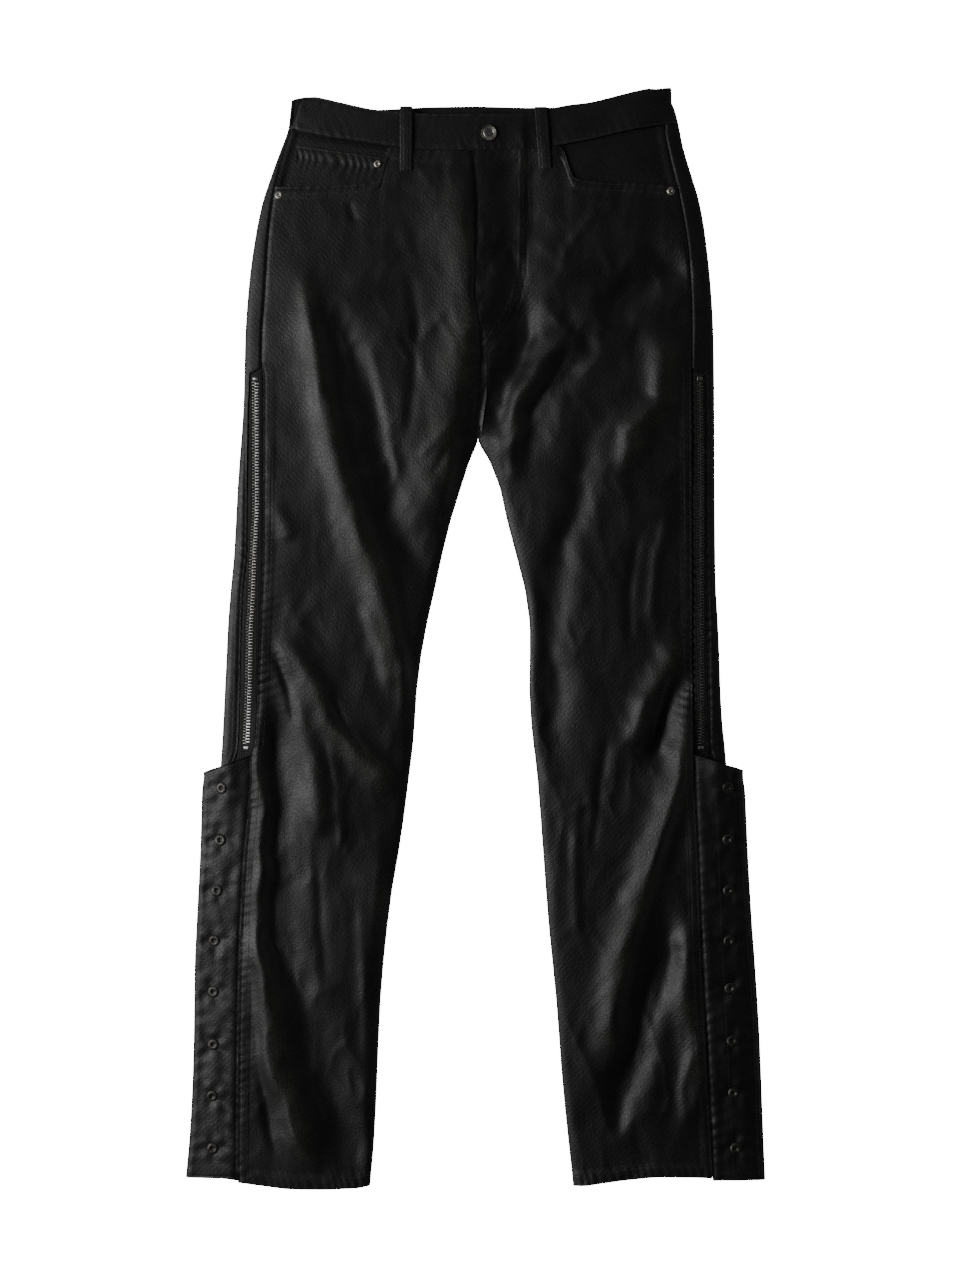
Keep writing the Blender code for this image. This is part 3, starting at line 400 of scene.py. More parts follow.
def lower(leg, x, down):
    """Height of the lower layer's outer face, which is the underside."""
    lift = SEAT_LIFT * (1 - glide(*SEAT_END, down))
    radius = np.where(np.abs(x - OUTER[leg](down)) < UNDER_SHOULDER, side_radius(down), FOLD_RADIUS)
    return lift + (radius - lift) * (1 - arch(edge_distance(leg, x, down) / UNDER_SHOULDER))


# %% [markdown]
# ## Small wrinkles
# Between the large folds a waxed cloth is never smooth. Three things are added in the mesh: a soft
# crumple, made of smooth random waves, sharper creases where such waves are folded over, and puckers, the
# short wrinkles that a tight seam pulls into the cloth beside it.

# %% Crumple, crackle and puckers
CRUMPLE = [(0.55, 34), (0.30, 17), (0.14, 8)]  # (height, spacing)


def crumple(x, down, seed):
    """The soft unevenness of the whole surface, stretched a little along the leg."""
    return mixed_waves(x, 0.6 * down, [(*part, seed + number) for number, part in enumerate(CRUMPLE)])


def crackle(x, down, spacing, seed):
    """Sharp little creases: the crests where smooth waves are folded over."""
    bent = x + 0.6 * spacing * waves(x, down, 1.8 * spacing, seed + 5)
    return 1 - 2.2 * np.abs(waves(bent, 0.55 * down, spacing, seed))


def pucker(away, along, spacing, reach, seed):
    """Short wrinkles across a seam: away is the distance from it, and along the place on it."""
    uneven = along + 0.35 * away + 5.0 * waves(along, 0 * along, 3.1 * spacing, seed)
    strength = 0.65 + 0.5 * waves(along, 0 * along, 4.7 * spacing, seed + 1)
    return strength * np.sin(2 * np.pi * uneven / spacing) * np.exp(-np.abs(away) / reach)


# %% [markdown]
# ## Making a cloth shell
# Every cloth piece is made in the same way. A grid is added with as many rows and columns as the piece
# needs, each of its points is put where the garment's own rules say, and Solidify turns the sheet into a
# thin closed shell. Two attributes go with the points: how far each is from the nearest line of stitches,
# and how much it stands out as a ridge. The cloth's material reads them, so that a groove lies under
# every seam and every ridge is painted paler and warmer, partly as worn wax and partly as a painted
# highlight. The UV map is laid out in metres along the cloth.

# %% The shell maker
FITTING_ROUNDS = 6
NO_SEAM = 20.0  # so far from every line of stitches that no groove shows


def deselect():
    bpy.ops.object.select_all(action="DESELECT")


def fitted(place_x, place_down, start):
    """Grids of x and down, for columns whose x depends on down on rows whose down depends on x."""
    down = np.asarray(start, float)[:, None]
    for _ in range(FITTING_ROUNDS):
        down = place_down(place_x(down))
    x = place_x(down)
    return x, down + 0 * x


def shell(name, points, seam, ridge=0.0, thickness=CLOTH, up=1):
    """A thin shell outside-up through (rows, columns, 3) points, each (x, down, height) in millimetres."""
    rows, columns = points.shape[:2]
    deselect()
    bpy.ops.mesh.primitive_grid_add(x_subdivisions=columns - 1, y_subdivisions=rows - 1, size=1)
    piece = bpy.context.object
    mesh = piece.data
    piece.name = mesh.name = name
    place = points.copy()
    place[..., 1] = LENGTH / 2 - points[..., 1]
    mesh.vertices.foreach_set("co", (place * MM).ravel())
    across = np.linalg.norm(np.diff(place, axis=1), axis=2)
    run = np.concatenate([np.zeros((rows, 1)), np.cumsum(across, axis=1)], axis=1) + place[:, :1, 0]
    flat = np.stack([run, place[..., 1]], axis=-1).reshape(-1, 2) * MM
    corner = np.empty(len(mesh.loops), int)
    mesh.loops.foreach_get("vertex_index", corner)
    mesh.uv_layers[0].data.foreach_set("uv", flat[corner].ravel())
    for label, value in (("seam", seam), ("ridge", ridge)):
        attribute = mesh.attributes.new(label, "FLOAT", "POINT")
        values = np.broadcast_to(value, (rows, columns)).astype(np.float32)
        attribute.data.foreach_set("value", values.ravel())
    r, c = rows // 2, columns // 2
    if up * np.cross(place[r, c] - place[r, c - 1], place[r, c] - place[r - 1, c])[2] < 0:
        bpy.ops.object.mode_set(mode="EDIT")
        bpy.ops.mesh.select_all(action="SELECT")
        bpy.ops.mesh.flip_normals()
        bpy.ops.object.mode_set(mode="OBJECT")
    wall = piece.modifiers.new("cloth", "SOLIDIFY")
    wall.thickness = thickness * MM
    wall.offset = -1
    bpy.ops.object.modifier_apply(modifier=wall.name)
    bpy.ops.object.shade_smooth_by_angle(angle=math.radians(60))
    print(name, "has", len(piece.data.polygons), "faces")
    return piece


# %% [markdown]
# ## The front panels
# Each front panel runs from the waistband to the hem, with the pocket mouth scooped out of its top
# corner. Its side edge is turned under and stitched down beside the zip, which is why the cloth is a
# little thicker there and puckers. The panel's rows bend at both ends to follow the mouth and the hem.

# %% Rows, columns and the front panels
FINE = 2.35  # spacing of the points that carry the wrinkles
TOP_ROW, HEM_ROW, TOP_WARP, HEM_WARP = 62.0, 1092.0, 150.0, 60.0
ROWS = np.linspace(TOP_ROW, HEM_ROW, 1 + int((HEM_ROW - TOP_ROW) / FINE))
TURN = 0.5  # a turned edge lies this much higher
SEAM_DIP = 1.6  # half width of the dip where two panels meet
EDGE_ROUND = np.array([0.1, 0.25, 0.4, 0.55, 0.7, 0.82, 0.92, 0.98, 1.0])
SEAM_LINES = (2.0, 8.0)  # double stitching: distances from the edge
HEM_LINE = 11.0
FLY_END = 262.0
FLY_LAP = {"right": 4.0, "left": 0.0}  # the right side goes on a little way under the left one
FLY_LAP_END = (340.0, 354.0)
FLY_LINES = (1.8, 6.0)  # stitches beside the seam below the fly
J_GAP = 5.0  # between the two lines of curved stitching
MOUTH_END = {"right": -90.5, "left": 87.5}  # x where the pocket mouth meets the waistband
AWAY = 50  # added to a distance where a line of stitches doesn't go
SIDE_PUCKERS = [  # how hard the side seam pulls: (down, height)
    (110, 0.1), (270, 0.15), (290, 0.6), (420, 0.7), (500, 1.3), (560, 1.0),
    (610, 1.6), (640, 1.0), (690, 0.9), (760, 0.6), (900, 0.5), (1090, 0.6),
]
J_LINE = [(66, 47.5), (150, 47.5), (185, 46), (212, 40), (234, 30), (248, 19), (FLY_END, 9)]  # (down, x)


def bent_rows(top, hem):
    """Rows of a body panel, bent to meet the edges top(x) and hem(x)."""
    rows = ROWS[:, None]
    near_top = 1 - glide(0, TOP_WARP, rows - TOP_ROW)
    near_hem = 1 - glide(0, HEM_WARP, HEM_ROW - rows)
    return lambda x: rows + (top(x) - TOP_ROW) * near_top + (hem(x) - HEM_ROW) * near_hem


def nearest_of(*distances):
    """The smallest of some distances, whatever their signs."""
    return np.minimum.reduce([np.abs(distance) for distance in distances])


def creases(leg, x, down):
    """The smaller creases and the crumple, which fade out where the cloth rounds over."""
    away = edge_distance(leg, x, down)
    small = sum(run_height(fold, x, down) for fold in CREASES[leg])
    # the cloth is worked most in patches, and above the crotch
    worked = 0.45 + 0.75 * glide(-0.2, 0.5, waves(x, down, 85, 55))
    worked += 0.7 * bell(np.hypot(x - CROTCH_X, (down - CROTCH_DOWN + 50) / 1.3), 62)
    rough = 0.9 * crumple(x, down, 3 + LEGS[leg])
    rough += worked * (0.55 * crackle(x, down, 30, 57) + 0.26 * crackle(x, down, 14, 67))
    return 1.2 * small * glide(0, CREASE_FADE, away) + rough * glide(0, ROUGH_FADE, away)


def front_grid(leg):
    """Where a front panel's points lie: its last columns carry the round of its inner edge."""
    way = LEGS[leg]
    shares = np.concatenate([[0, 0.002, 0.005, 0.009, 0.014], np.linspace(0.02, 1, 78)])
    steps = np.append(0 * shares, EDGE_ROUND * SHOULDER)
    shares = np.append(shares, np.ones(len(EDGE_ROUND)))

    def place(down):
        lap = FLY_LAP[leg] * (1 - glide(*FLY_LAP_END, down))
        start, end = SIDE_SEAM[leg](down), INNER[leg](down) + lap
        return start + (end - way * SHOULDER - start) * shares + way * steps

    return fitted(place, bent_rows(SCOOP[leg], HEM[leg]), ROWS)


def fly_relief(x, down):
    """Inside the curved stitching the left front is double, wrinkled, and a little higher."""
    j_x = looked_up(J_LINE, down)
    inside = (1 - glide(-1.5, 1.5, x - j_x)) * (1 - glide(FLY_END - 12, FLY_END, down))
    wrinkled = 1.0 + 1.5 * crumple(2.6 * x, 2.4 * down, 77) * glide(70, 180, down)
    beside_j = bell(x - j_x - 2.5, 2.2) * (1 - glide(FLY_END - 40, FLY_END - 8, down))
    return inside * wrinkled - 0.3 * beside_j


def front_panel(leg):
    way = LEGS[leg]
    x, down = front_grid(leg)
    to_side = np.abs(x - SIDE_SEAM[leg](down))
    to_mouth = down - SCOOP[leg](x)
    to_hem = HEM[leg](x) - down
    to_fly = np.abs(x - INNER[leg](down)) + 100 * glide(CROTCH_DOWN - 4, CROTCH_DOWN, down)
    by_zip = glide(ZIP_TOP - 14, ZIP_TOP - 4, down)
    puckers = looked_up(SIDE_PUCKERS, down) * pucker(to_side, down, 8.5, 11, 21 + way)
    puckers += 0.4 * pucker(to_mouth, x, 8, 7, 31) * (1 - glide(20, 40, to_mouth))
    puckers += 0.7 * pucker(to_hem, x, 8, 8, 41) * glide(0, 3, to_hem)
    puckers += 0.7 * glide(180, 250, down) * pucker(to_fly, down, 8, 9, 51)
    turned = TURN * by_zip * (1 - glide(9, 10.5, to_side)) + 0.9 * (1 - glide(9, 10.5, to_mouth))
    turned = np.maximum(turned, 0.6 * (1 - glide(12, 13.5, to_hem)))
    sunk = 0.9 * (1 - by_zip) * bell(to_side, SEAM_DIP)
    if leg == "left":
        turned = turned + fly_relief(x, down)
    else:
        at_fly = 1 - glide(CROTCH_DOWN - 8, CROTCH_DOWN, down)
        sunk = sunk + 1.3 * at_fly * bell(to_fly, 2 * SEAM_DIP)
    level = upper(leg, x, down)
    height = level + creases(leg, x, down) + puckers + turned - sunk
    on_hip = AWAY * (1 - by_zip)
    by_band = AWAY * (way * x > way * MOUTH_END[leg] + 1.5)
    lines = [to_side - away + on_hip for away in SEAM_LINES]
    lines += [to_mouth - SEAM_LINES[0] + by_band, to_mouth - SEAM_LINES[1], to_hem - HEM_LINE]
    if leg == "left":
        to_j = nearest_on(np.array(J_LINE), x, down)[0]
        lines += [to_j, to_j - J_GAP, to_fly - FLY_LINES[0] + AWAY * (down < FLY_END - 20)]
    # how far a point stands out as a ridge: the material paints these ridges paler and warmer, partly as worn
    # wax and partly as a painted highlight
    ridge = glide(0.3, 5, height - level + sum(run_height(fold, x, down) for fold in FOLDS[leg]))
    return shell(f"front_{leg}", np.stack([x, down, height], -1), nearest_of(*lines), ridge)


fronts = {leg: front_panel(leg) for leg in LEGS}

# %% [markdown]
# ## The back panels and the yokes
# The back of the jeans lies on the floor, and wraps round each side to the seam on the front, where it
# shows as the strip outside the zip. A shaped yoke joins each back panel to the waistband.

# %% Back panels and yokes
FROM_INNER = np.array([0, 0.1, 0.25, 0.45, 0.7])  # columns on a rounded fold, in shoulder widths
UNDER_COLUMNS = 12  # across the flat of the underside
WRAP_SHARES = np.concatenate([np.linspace(0.05, 0.9, 15), [0.94, 0.97, 0.985, 1.0]])
SEAM_GAP, YOKE_GAP = 0.3, 0.8
YOKE_SHARES = np.linspace(0, 1, 16)


def spread(shares, top, bottom):
    """Rows that share out the way from one edge to the other."""
    shares = np.asarray(shares, float)[:, None]
    return lambda x: top(x) + (bottom(x) - top(x)) * shares


def back_band_seam(x):
    """Where the waistband ends and the yokes start."""
    return BAND_SEAM["back"](x) - YOKE_GAP


def under_grid(leg, rows_of, start):
    """Where the points of the underside lie: its outer columns carry the round of both folds."""
    way = LEGS[leg]
    none = np.zeros(len(FROM_INNER))
    from_inner = np.concatenate([FROM_INNER, np.ones(UNDER_COLUMNS + len(FROM_INNER))]) * UNDER_SHOULDER
    shares = np.concatenate([none, np.linspace(0, 1, UNDER_COLUMNS), 1 + none])
    to_side = np.concatenate([none, np.zeros(UNDER_COLUMNS), 1 - FROM_INNER[::-1]]) * UNDER_SHOULDER

    def place(down):
        middle = CROTCH_X - way * SEAM_GAP / 2
        inner = np.where(down < CROTCH_DOWN, middle, INNER[leg](down))
        span = OUTER[leg](down) - inner + 2 * way * UNDER_SHOULDER
        return inner - way * from_inner + span * shares - way * to_side

    return fitted(place, rows_of, start)


def wrap_grid(leg, rows_of, start):
    """Where the points lie that wrap round the side on to the front."""

    def place(down):
        side = OUTER[leg](down)
        return side + (WRAP_END[leg](down) - side) * WRAP_SHARES

    return fitted(place, rows_of, start)


def back_piece(name, leg, rows_of, start):
    x, down = under_grid(leg, rows_of, start)
    underside = np.stack([x, down, lower(leg, x, down)], -1)
    x, down = wrap_grid(leg, rows_of, start)
    to_seam = np.abs(x - WRAP_END[leg](down))
    from_side = np.abs(x - OUTER[leg](down))
    by_zip = glide(ZIP_TOP - 6, ZIP_TOP, down)
    small = 0.7 * crumple(x, down, 7)
    small += 0.7 * looked_up(SIDE_PUCKERS, down) * pucker(to_seam, down, 9, 8, 61 + LEGS[leg])
    height = side_fold(leg, x, down) + small * glide(0, 9, from_side)
    height += 0.3 * by_zip * (1 - glide(5, 7, to_seam))
    height -= 0.9 * (1 - by_zip) * bell(to_seam, SEAM_DIP)
    height -= 1.6 * by_zip * (1 - settled(down)) * glide(4, 16, from_side)
    side = np.stack([x, down, height], -1)
    seam = np.abs(to_seam - SEAM_LINES[0]) + NO_SEAM * (1 - by_zip)
    seam = np.concatenate([np.full(underside.shape[:2], NO_SEAM), seam], axis=1)
    return shell(name, np.concatenate([underside, side], axis=1), seam, up=-1)


backs, yokes = {}, {}
for leg in LEGS:
    backs[leg] = back_piece(f"back_{leg}", leg, bent_rows(YOKE_SEAM, HEM[leg]), ROWS)
    yoke_rows = spread(YOKE_SHARES, back_band_seam, YOKE_SEAM)
    yokes[leg] = back_piece(f"yoke_{leg}", leg, yoke_rows, 58 + 35 * YOKE_SHARES)

# %% [markdown]
# ## The pocket mouths
# A facing shows inside each scooped mouth. The wearer's right one carries the coin pocket, whose lower
# end goes under the front panel.

# %% Pocket facings and the coin pocket
PANEL, FACING, COIN_POCKET = 1.4, 1.2, 1.0  # thicknesses
LAY_GAP = 0.4  # between layers that lie on each other
FACING_DEPTH = {"right": 3.4, "left": 2.7}  # below the upper layer; the right one carries the coin pocket
TUCK = 12.0  # how far a facing goes on inwards past its mouth
FACING_END = 113.5
UNDER_BAND = 5.0  # the facings go on under the waistband
COIN_TOP = [(-178.5, 59.0), (-86.0, 72.5)]  # (x, down)
COIN_BOTTOM = 111.0


def pocket_facing(leg):
    edge_depth = PANEL + LAY_GAP
    inner = MOUTH_END[leg] + LEGS[leg] * TUCK
    rows, columns = np.linspace(0, 1, 24), np.linspace(0, 1, 46)

    def place(down):
        return FACING_SIDE[leg](down) + (inner - FACING_SIDE[leg](down)) * columns

    def top(x):
        return BAND_SEAM["front"](x) - UNDER_BAND

    x, down = fitted(place, spread(rows, top, even(FACING_END)), np.linspace(50, FACING_END, len(rows)))
    from_side = np.abs(x - FACING_SIDE[leg](down))
    height = upper(leg, x, down) - edge_depth - (FACING_DEPTH[leg] - edge_depth) * glide(2, 9, from_side)
    height -= 0.6 * (1 - glide(0, 3, down - BAND_SEAM["front"](x)))
    height += 0.25 * crumple(x, down, 12)
    return shell(f"facing_{leg}", np.stack([x, down, height], -1), NO_SEAM, thickness=FACING)


def coin_top(x):
    return looked_up(COIN_TOP, x)


def coin_pocket():
    (start, _), (end, _) = COIN_TOP
    rows, columns = np.linspace(0, 1, 28), np.linspace(start, end, 60)
    rows_of = spread(rows, coin_top, even(COIN_BOTTOM))
    x, down = fitted(even(columns), rows_of, np.linspace(60, COIN_BOTTOM, len(rows)))
    to_top = down - coin_top(x)
    height = upper("right", x, down) - PANEL - LAY_GAP + 0.5 * crumple(x, down, 14)
    height += 0.9 * (1 - glide(8, 10, to_top)) + 0.8 * pucker(np.abs(to_top - 11), x, 7.5, 6, 33)
    seam = nearest_of(*(to_top - away for away in SEAM_LINES))
    return shell("coin_pocket_cloth", np.stack([x, down, height], -1), seam, thickness=COIN_POCKET)


facings = {leg: pocket_facing(leg) for leg in LEGS}
coin = coin_pocket()

# %% [markdown]
# ## The waistband
# One doubled strip goes right round: it starts under the fly, runs over the wearer's right hip, round
# the back and over the left hip, and its end lies on top at the fly with the button. Along the back it
# stands a little higher than in front, so its inside shows there as a dark strip.

# %% Waistband
BAND = 2.2  # thickness
PROUD = 0.8  # the band stands this much above the front panels
UNDERLAP_END = 34.0  # how far its right end goes on under the left one
BAND_ROWS = np.linspace(1, 0, 18)


def band_part(leg, layer, base, offsets, depth=0.0):
    """Part of the waistband, as columns at these distances from a base line."""
    top = BAND_TOP["front"] if layer is upper else BAND_TOP["back"]
    bottom = BAND_SEAM["front"] if layer is upper else back_band_seam
    offsets = np.asarray(offsets, float)

    def place(down):
        return base(down) + offsets

    x, down = fitted(place, spread(BAND_ROWS, top, bottom), 60 - 30 * (1 - BAND_ROWS))
    height = layer(leg, x, down) - depth
    to_top, to_bottom = down - top(x), bottom(x) - down
    seam = nearest_of(to_top - SEAM_LINES[0], to_bottom - SEAM_LINES[0])
    if layer is upper:
        flatness = arch(edge_distance(leg, x, down) / SHOULDER)
        small = 0.45 * pucker(to_bottom, x, 8, 9, 71) + 0.35 * pucker(to_top, x, 9, 9, 72)
        small += 0.5 * crumple(x, down, 15)
        height = height + (PROUD + small - 0.35 * bell(seam, 1.0)) * flatness
    return np.stack([x, down, height], -1), seam


def waistband():
    middle = even(0.0)
    near_fly = np.linspace(UNDERLAP_END, 0, 15)
    turn = np.array([12, 10.5, 9, 7.5, 6, 4.6, 3.4, 2.3, 1.4, 0.7, 0.2, 0])
    under_turn = np.array([0.3, 0.8, 1.5, 2.5, 3.7, 5])
    parts = [
        band_part("left", upper, INNER["left"], near_fly, PROUD + BAND - 0.4),
        band_part("right", upper, middle, np.linspace(-8, -160, 62)),
        band_part("right", upper, OUTER["right"], turn),
        band_part("right", lower, OUTER["right"], under_turn),
        band_part("right", lower, middle, np.linspace(-168, 0, 22)),
        band_part("left", lower, middle, np.linspace(8, 170, 20)),
        band_part("left", lower, OUTER["left"], -under_turn[::-1]),
        band_part("left", upper, OUTER["left"], -turn[::-1]),
        band_part("left", upper, middle, np.linspace(172, 42, 54)),
        band_part("left", upper, INNER["left"], near_fly),
    ]
    points, seams = (np.concatenate(arrays, axis=1) for arrays in zip(*parts))
    return shell("waistband_cloth", points, seams, thickness=BAND, up=-1)


band = waistband()

# %% [markdown]
# ## The snap flaps
# A doubled flap covers the opening of each lower leg, sewn to the front panel and closed on an underlap
# by eight snaps. Each snap pulls its place down into a little hollow, and the cloth wrinkles between them.

# %% Flaps and underlaps
FLAP, UNDERLAP = 2.0, 1.2  # thicknesses
FLAP_ROWS = ROWS[ROWS >= FLAP_TOP]
FLAP_CORNER = {"right": 683.5, "left": 681.0}  # its top slopes down to here
FLAP_BOTTOM = {"right": 1089.0, "left": 1091.0}
FREE_EDGE = {"right": 3.7, "left": 4.5}  # height of its free edge
FLAP_SINK = {"right": 1.8, "left": 3.6}  # the more, the later it turns down towards its free edge
SNAPS = {  # (down, x)
    "right": [(699.5, -253), (751.5, -254.5), (802, -258), (852, -260.5),
              (903, -261.5), (955.5, -261.5), (1007, -262.5), (1059, -262)],
    "left": [(699, 251.5), (751, 252), (802, 252.5), (852, 253),
             (899.5, 254), (951.5, 256), (1003.5, 257.5), (1059, 259.5)],
}


def flap_height(leg, x, down):
    """Level with the front panel at its seam, over the leg's edge, and down at its free edge."""
    seam = SIDE_SEAM[leg](down) - LEGS[leg] * SEAM_GAP
    share = (x - seam) / (FLAP_EDGE[leg](down) - seam)
    free_edge = FREE_EDGE[leg] + 2.4 * (1 - settled(down))
    sink = np.clip(share, 0, 1) ** FLAP_SINK[leg]
    over_fold = (SHOULDER_HEIGHT + 1.2 - TURNED_HEIGHT) * (1 - settled(down)) * hump(share - 0.5, 0.3, 0.3)
    return upper(leg, seam, down) * (1 - sink) + free_edge * sink + 1.2 * share * (1 - share) + over_fold


def flap_grid(leg, shares, inset):
    way = LEGS[leg]

    def place(down):
        seam = SIDE_SEAM[leg](down) - way * SEAM_GAP
        return seam + (FLAP_EDGE[leg](down) + way * inset - seam) * shares

    def rows_of(x):
        rows = FLAP_ROWS[:, None]
        top = FLAP_TOP + (FLAP_CORNER[leg] - FLAP_TOP) * shares + inset
        near_top = 1 - glide(0, HEM_WARP, rows - FLAP_TOP)
        near_hem = 1 - glide(0, HEM_WARP, HEM_ROW - rows)
        return rows + (top - FLAP_TOP) * near_top + (FLAP_BOTTOM[leg] - inset - HEM_ROW) * near_hem

    return fitted(place, rows_of, FLAP_ROWS)


def snap_flap(leg):
    shares = np.linspace(0, 1, 30)
    x, down = flap_grid(leg, shares, 0.0)
    to_seam, to_edge = np.abs(x - x[:, :1]), np.abs(x - x[:, -1:])
    to_top, to_bottom = down - down[:1], down[-1:] - down
    small = 0.9 * crumple(x, down, 19) + 0.5 * waves(x, down, 9, 27)
    small += 0.55 * pucker(to_edge, down, 15, 9, 81) + 0.7 * pucker(to_seam, down, 10, 8, 83)
    for snap_down, snap_x in SNAPS[leg]:
        away = np.hypot(x - snap_x, down - snap_down)
        angle = np.arctan2(down - snap_down, x - snap_x)
        small -= 1.5 * bell(away, 9.0)
        small += 0.6 * np.cos(4 * angle + snap_down) * bell(away - 11, 5)
    small += 0.7 * bell(to_edge - 4, 4) + 0.6 * bell(to_seam - 6, 5)
    small *= glide(0, 4, to_edge)
    edges = (to_seam, to_edge, to_top, to_bottom)
    seam = nearest_of(*(away - SEAM_LINES[0] for away in edges))
    height = flap_height(leg, x, down) + small - 0.3 * bell(seam, 0.9)
    return shell(f"flap_{leg}", np.stack([x, down, height], -1), seam, thickness=FLAP)


def snap_underlap(leg):
    x, down = flap_grid(leg, np.linspace(0.42, 1, 12), 2.0)
    height = flap_height(leg, x, down) - FLAP - LAY_GAP
    return shell(f"underlap_{leg}", np.stack([x, down, height], -1), NO_SEAM, thickness=UNDERLAP)


flaps = {leg: snap_flap(leg) for leg in LEGS}
underlaps = {leg: snap_underlap(leg) for leg in LEGS}

# %% [markdown]
# ## The zip tapes
# The woven tape lies a little lower than the cloth on both sides of it, and is tucked under both edges.

# %% Zip tapes
TEETH = {  # middle line of the teeth: (down, x)
    "right": [(290, -219.5), (422, -219), (476, -222), (508, -223),
              (536, -225), (608, -226.5), (656, -228.5)],
    "left": [(290, 223.5), (382, 224.5), (512, 224.5), (656, 224.5)],
}
TAPE = 0.9  # thickness
TAPE_END = 692.0  # it goes on under the flap's top


def teeth_line(leg, down):
    return looked_up(TEETH[leg], down)


def zip_tape(leg):
    way = LEGS[leg]
    down = np.arange(ZIP_TOP - 9, TAPE_END, 2.0)[:, None]
    side, back, front = OUTER[leg](down), WRAP_END[leg](down), SIDE_SEAM[leg](down)
    tuck_back = side + (back - side) * 0.6
    tuck_front = front + (INNER[leg](down) - way * SHOULDER - front) * 0.04
    x = tuck_back + (tuck_front - tuck_back) * np.linspace(0, 1, 26)
    down = down + 0 * x
    from_teeth = np.abs(x - teeth_line(leg, down))
    ripple = 0.25 * pucker(0 * x, down, 10, 13, 91) * glide(2, 6, from_teeth)
    shown = np.minimum(np.abs(x - back), np.abs(x - front)) * ((x - back) * (x - front) < 0)
    height = upper(leg, x, down) - PANEL - LAY_GAP - 0.2 + ripple
    height += 1.0 * glide(0.5, 2.5, shown) - 0.8 * glide(FLAP_TOP - 6, FLAP_TOP, down)
    return shell(f"tape_{leg}", np.stack([x, down, height], -1), NO_SEAM, thickness=TAPE)


tapes = {leg: zip_tape(leg) for leg in LEGS}

# %% [markdown]
# ## The back pockets and the belt loops
# The patch pockets and the back loops lie flat between the jeans and the floor. The two front loops
# stand a little off the band, as folded strips that are sewn down at both ends.

# %% Back pockets and belt loops
LOOP, LOOP_HALF = 1.6, 6.2  # thickness and half width
LOOP_LINE = 2.5  # its stitches, from its edge
LOOP_STAND = [  # how a front loop stands off the band: (share of its length, height)
    (0, 1.5), (0.12, 1.8), (0.3, 2.4), (0.5, 2.1), (0.68, 1.5), (0.82, 0.8), (1, 0.5),
]
FRONT_LOOPS = {"right": ((-69, 21), (-69, 85)), "left": ((65, 21.5), (69.5, 82.5))}  # ends: (x, down)
BACK_LOOPS = {"right": -118.0, "middle": CROTCH_X, "left": 127.0}  # x
BACK_LOOP_TOP, BACK_LOOP_LENGTH = 21.5, 62.5
POCKET_AWAY = 92  # a back pocket's middle, from the middle of the seat
POCKET_SHAPE = {"top": 148.0, "side": 272.0, "point": 287.0, "half_top": 74.0, "half_bottom": 63.0}


def back_pocket(leg):
    size = POCKET_SHAPE
    across = np.linspace(-1, 1, 31)
    share = np.linspace(0, 1, 28)[:, None]
    half = size["half_top"] + (size["half_bottom"] - size["half_top"]) * share
    x = CROTCH_X - LEGS[leg] * POCKET_AWAY + across * half
    lowest = size["side"] + (size["point"] - size["side"]) * (1 - np.abs(across))
    down = size["top"] + (lowest - size["top"]) * share
    to_edge = nearest_of((1 - np.abs(across)) * half, lowest - down)
    to_top = down - size["top"]
    seam = nearest_of(to_edge - SEAM_LINES[0], to_edge - SEAM_LINES[1], to_top - HEM_LINE)
    points = np.stack([x, down, np.zeros_like(x)], -1)
    return shell(f"back_pocket_{leg}_cloth", points, seam, thickness=PANEL, up=-1)


def front_loop(leg):
    (top_x, top), (bottom_x, bottom) = FRONT_LOOPS[leg]
    share, across = np.linspace(0, 1, 34)[:, None], np.linspace(-1, 1, 13)
    x = top_x + (bottom_x - top_x) * share + across * LOOP_HALF
    down = top + (bottom - top) * share + 0 * x
    height = upper(leg, x, down) + PROUD * (1 - glide(0.55, 0.75, share))
    height += looked_up(LOOP_STAND, share) + LOOP
    height -= 0.5 * np.abs(across) ** 6
    height += 0.2 * crumple(x * 2, down * 2, 23)
    seam = LOOP_HALF * (1 - np.abs(across)) - LOOP_LINE + 0 * x
    return shell(f"front_loop_{leg}", np.stack([x, down, height], -1), np.abs(seam), thickness=LOOP)


def back_loop(name, middle):
    share, across = np.linspace(0, 1, 16)[:, None], np.linspace(-1, 1, 7)
    x = middle + across * LOOP_HALF + 0 * share
    down = BACK_LOOP_TOP + BACK_LOOP_LENGTH * share + 0 * x
    seam = np.abs(LOOP_HALF * (1 - np.abs(across)) - LOOP_LINE) + 0 * x
    return shell(f"back_loop_{name}", np.stack([x, down, 0 * x], -1), seam, thickness=PANEL, up=-1)


back_pockets = {leg: back_pocket(leg) for leg in LEGS}
front_loops = {leg: front_loop(leg) for leg in LEGS}
back_loops = {name: back_loop(name, middle) for name, middle in BACK_LOOPS.items()}

# %% [markdown]
# ## Standing on the cloth
# Teeth, snaps, rivets, the button and the thread all sit on the finished cloth. A ray straight down finds
# the height and the slope of the cloth at any place.

# %% Finding the surface
def tree_of(*pieces):
    """Something to cast rays at."""
    vertices, faces = [], []
    for piece in pieces:
        start = len(vertices)
        vertices += [tuple(v.co) for v in piece.data.vertices]
        faces += [[start + i for i in face.vertices] for face in piece.data.polygons]
    return BVHTree.FromPolygons(vertices, faces)


def surface(tree, x, down, below=False):
    """The highest point of the cloth at a place, or the lowest from below, and its normal, in metres."""
    side = -1 if below else 1
    start = Vector((x * MM, (LENGTH / 2 - down) * MM, side * 0.1))
    place, normal, _, _ = tree.ray_cast(start, Vector((0, 0, -side)))
    return (np.array(place), np.array(normal)) if place is not None else (None, None)


def standing(points, place, normal, heading):
    """Points modelled round the origin, set on the cloth: their X goes towards heading, their Z stands up."""
    x_axis = heading - normal * np.dot(heading, normal)
    x_axis /= np.linalg.norm(x_axis)
    return place + points @ np.array([x_axis, np.cross(normal, x_axis), normal])


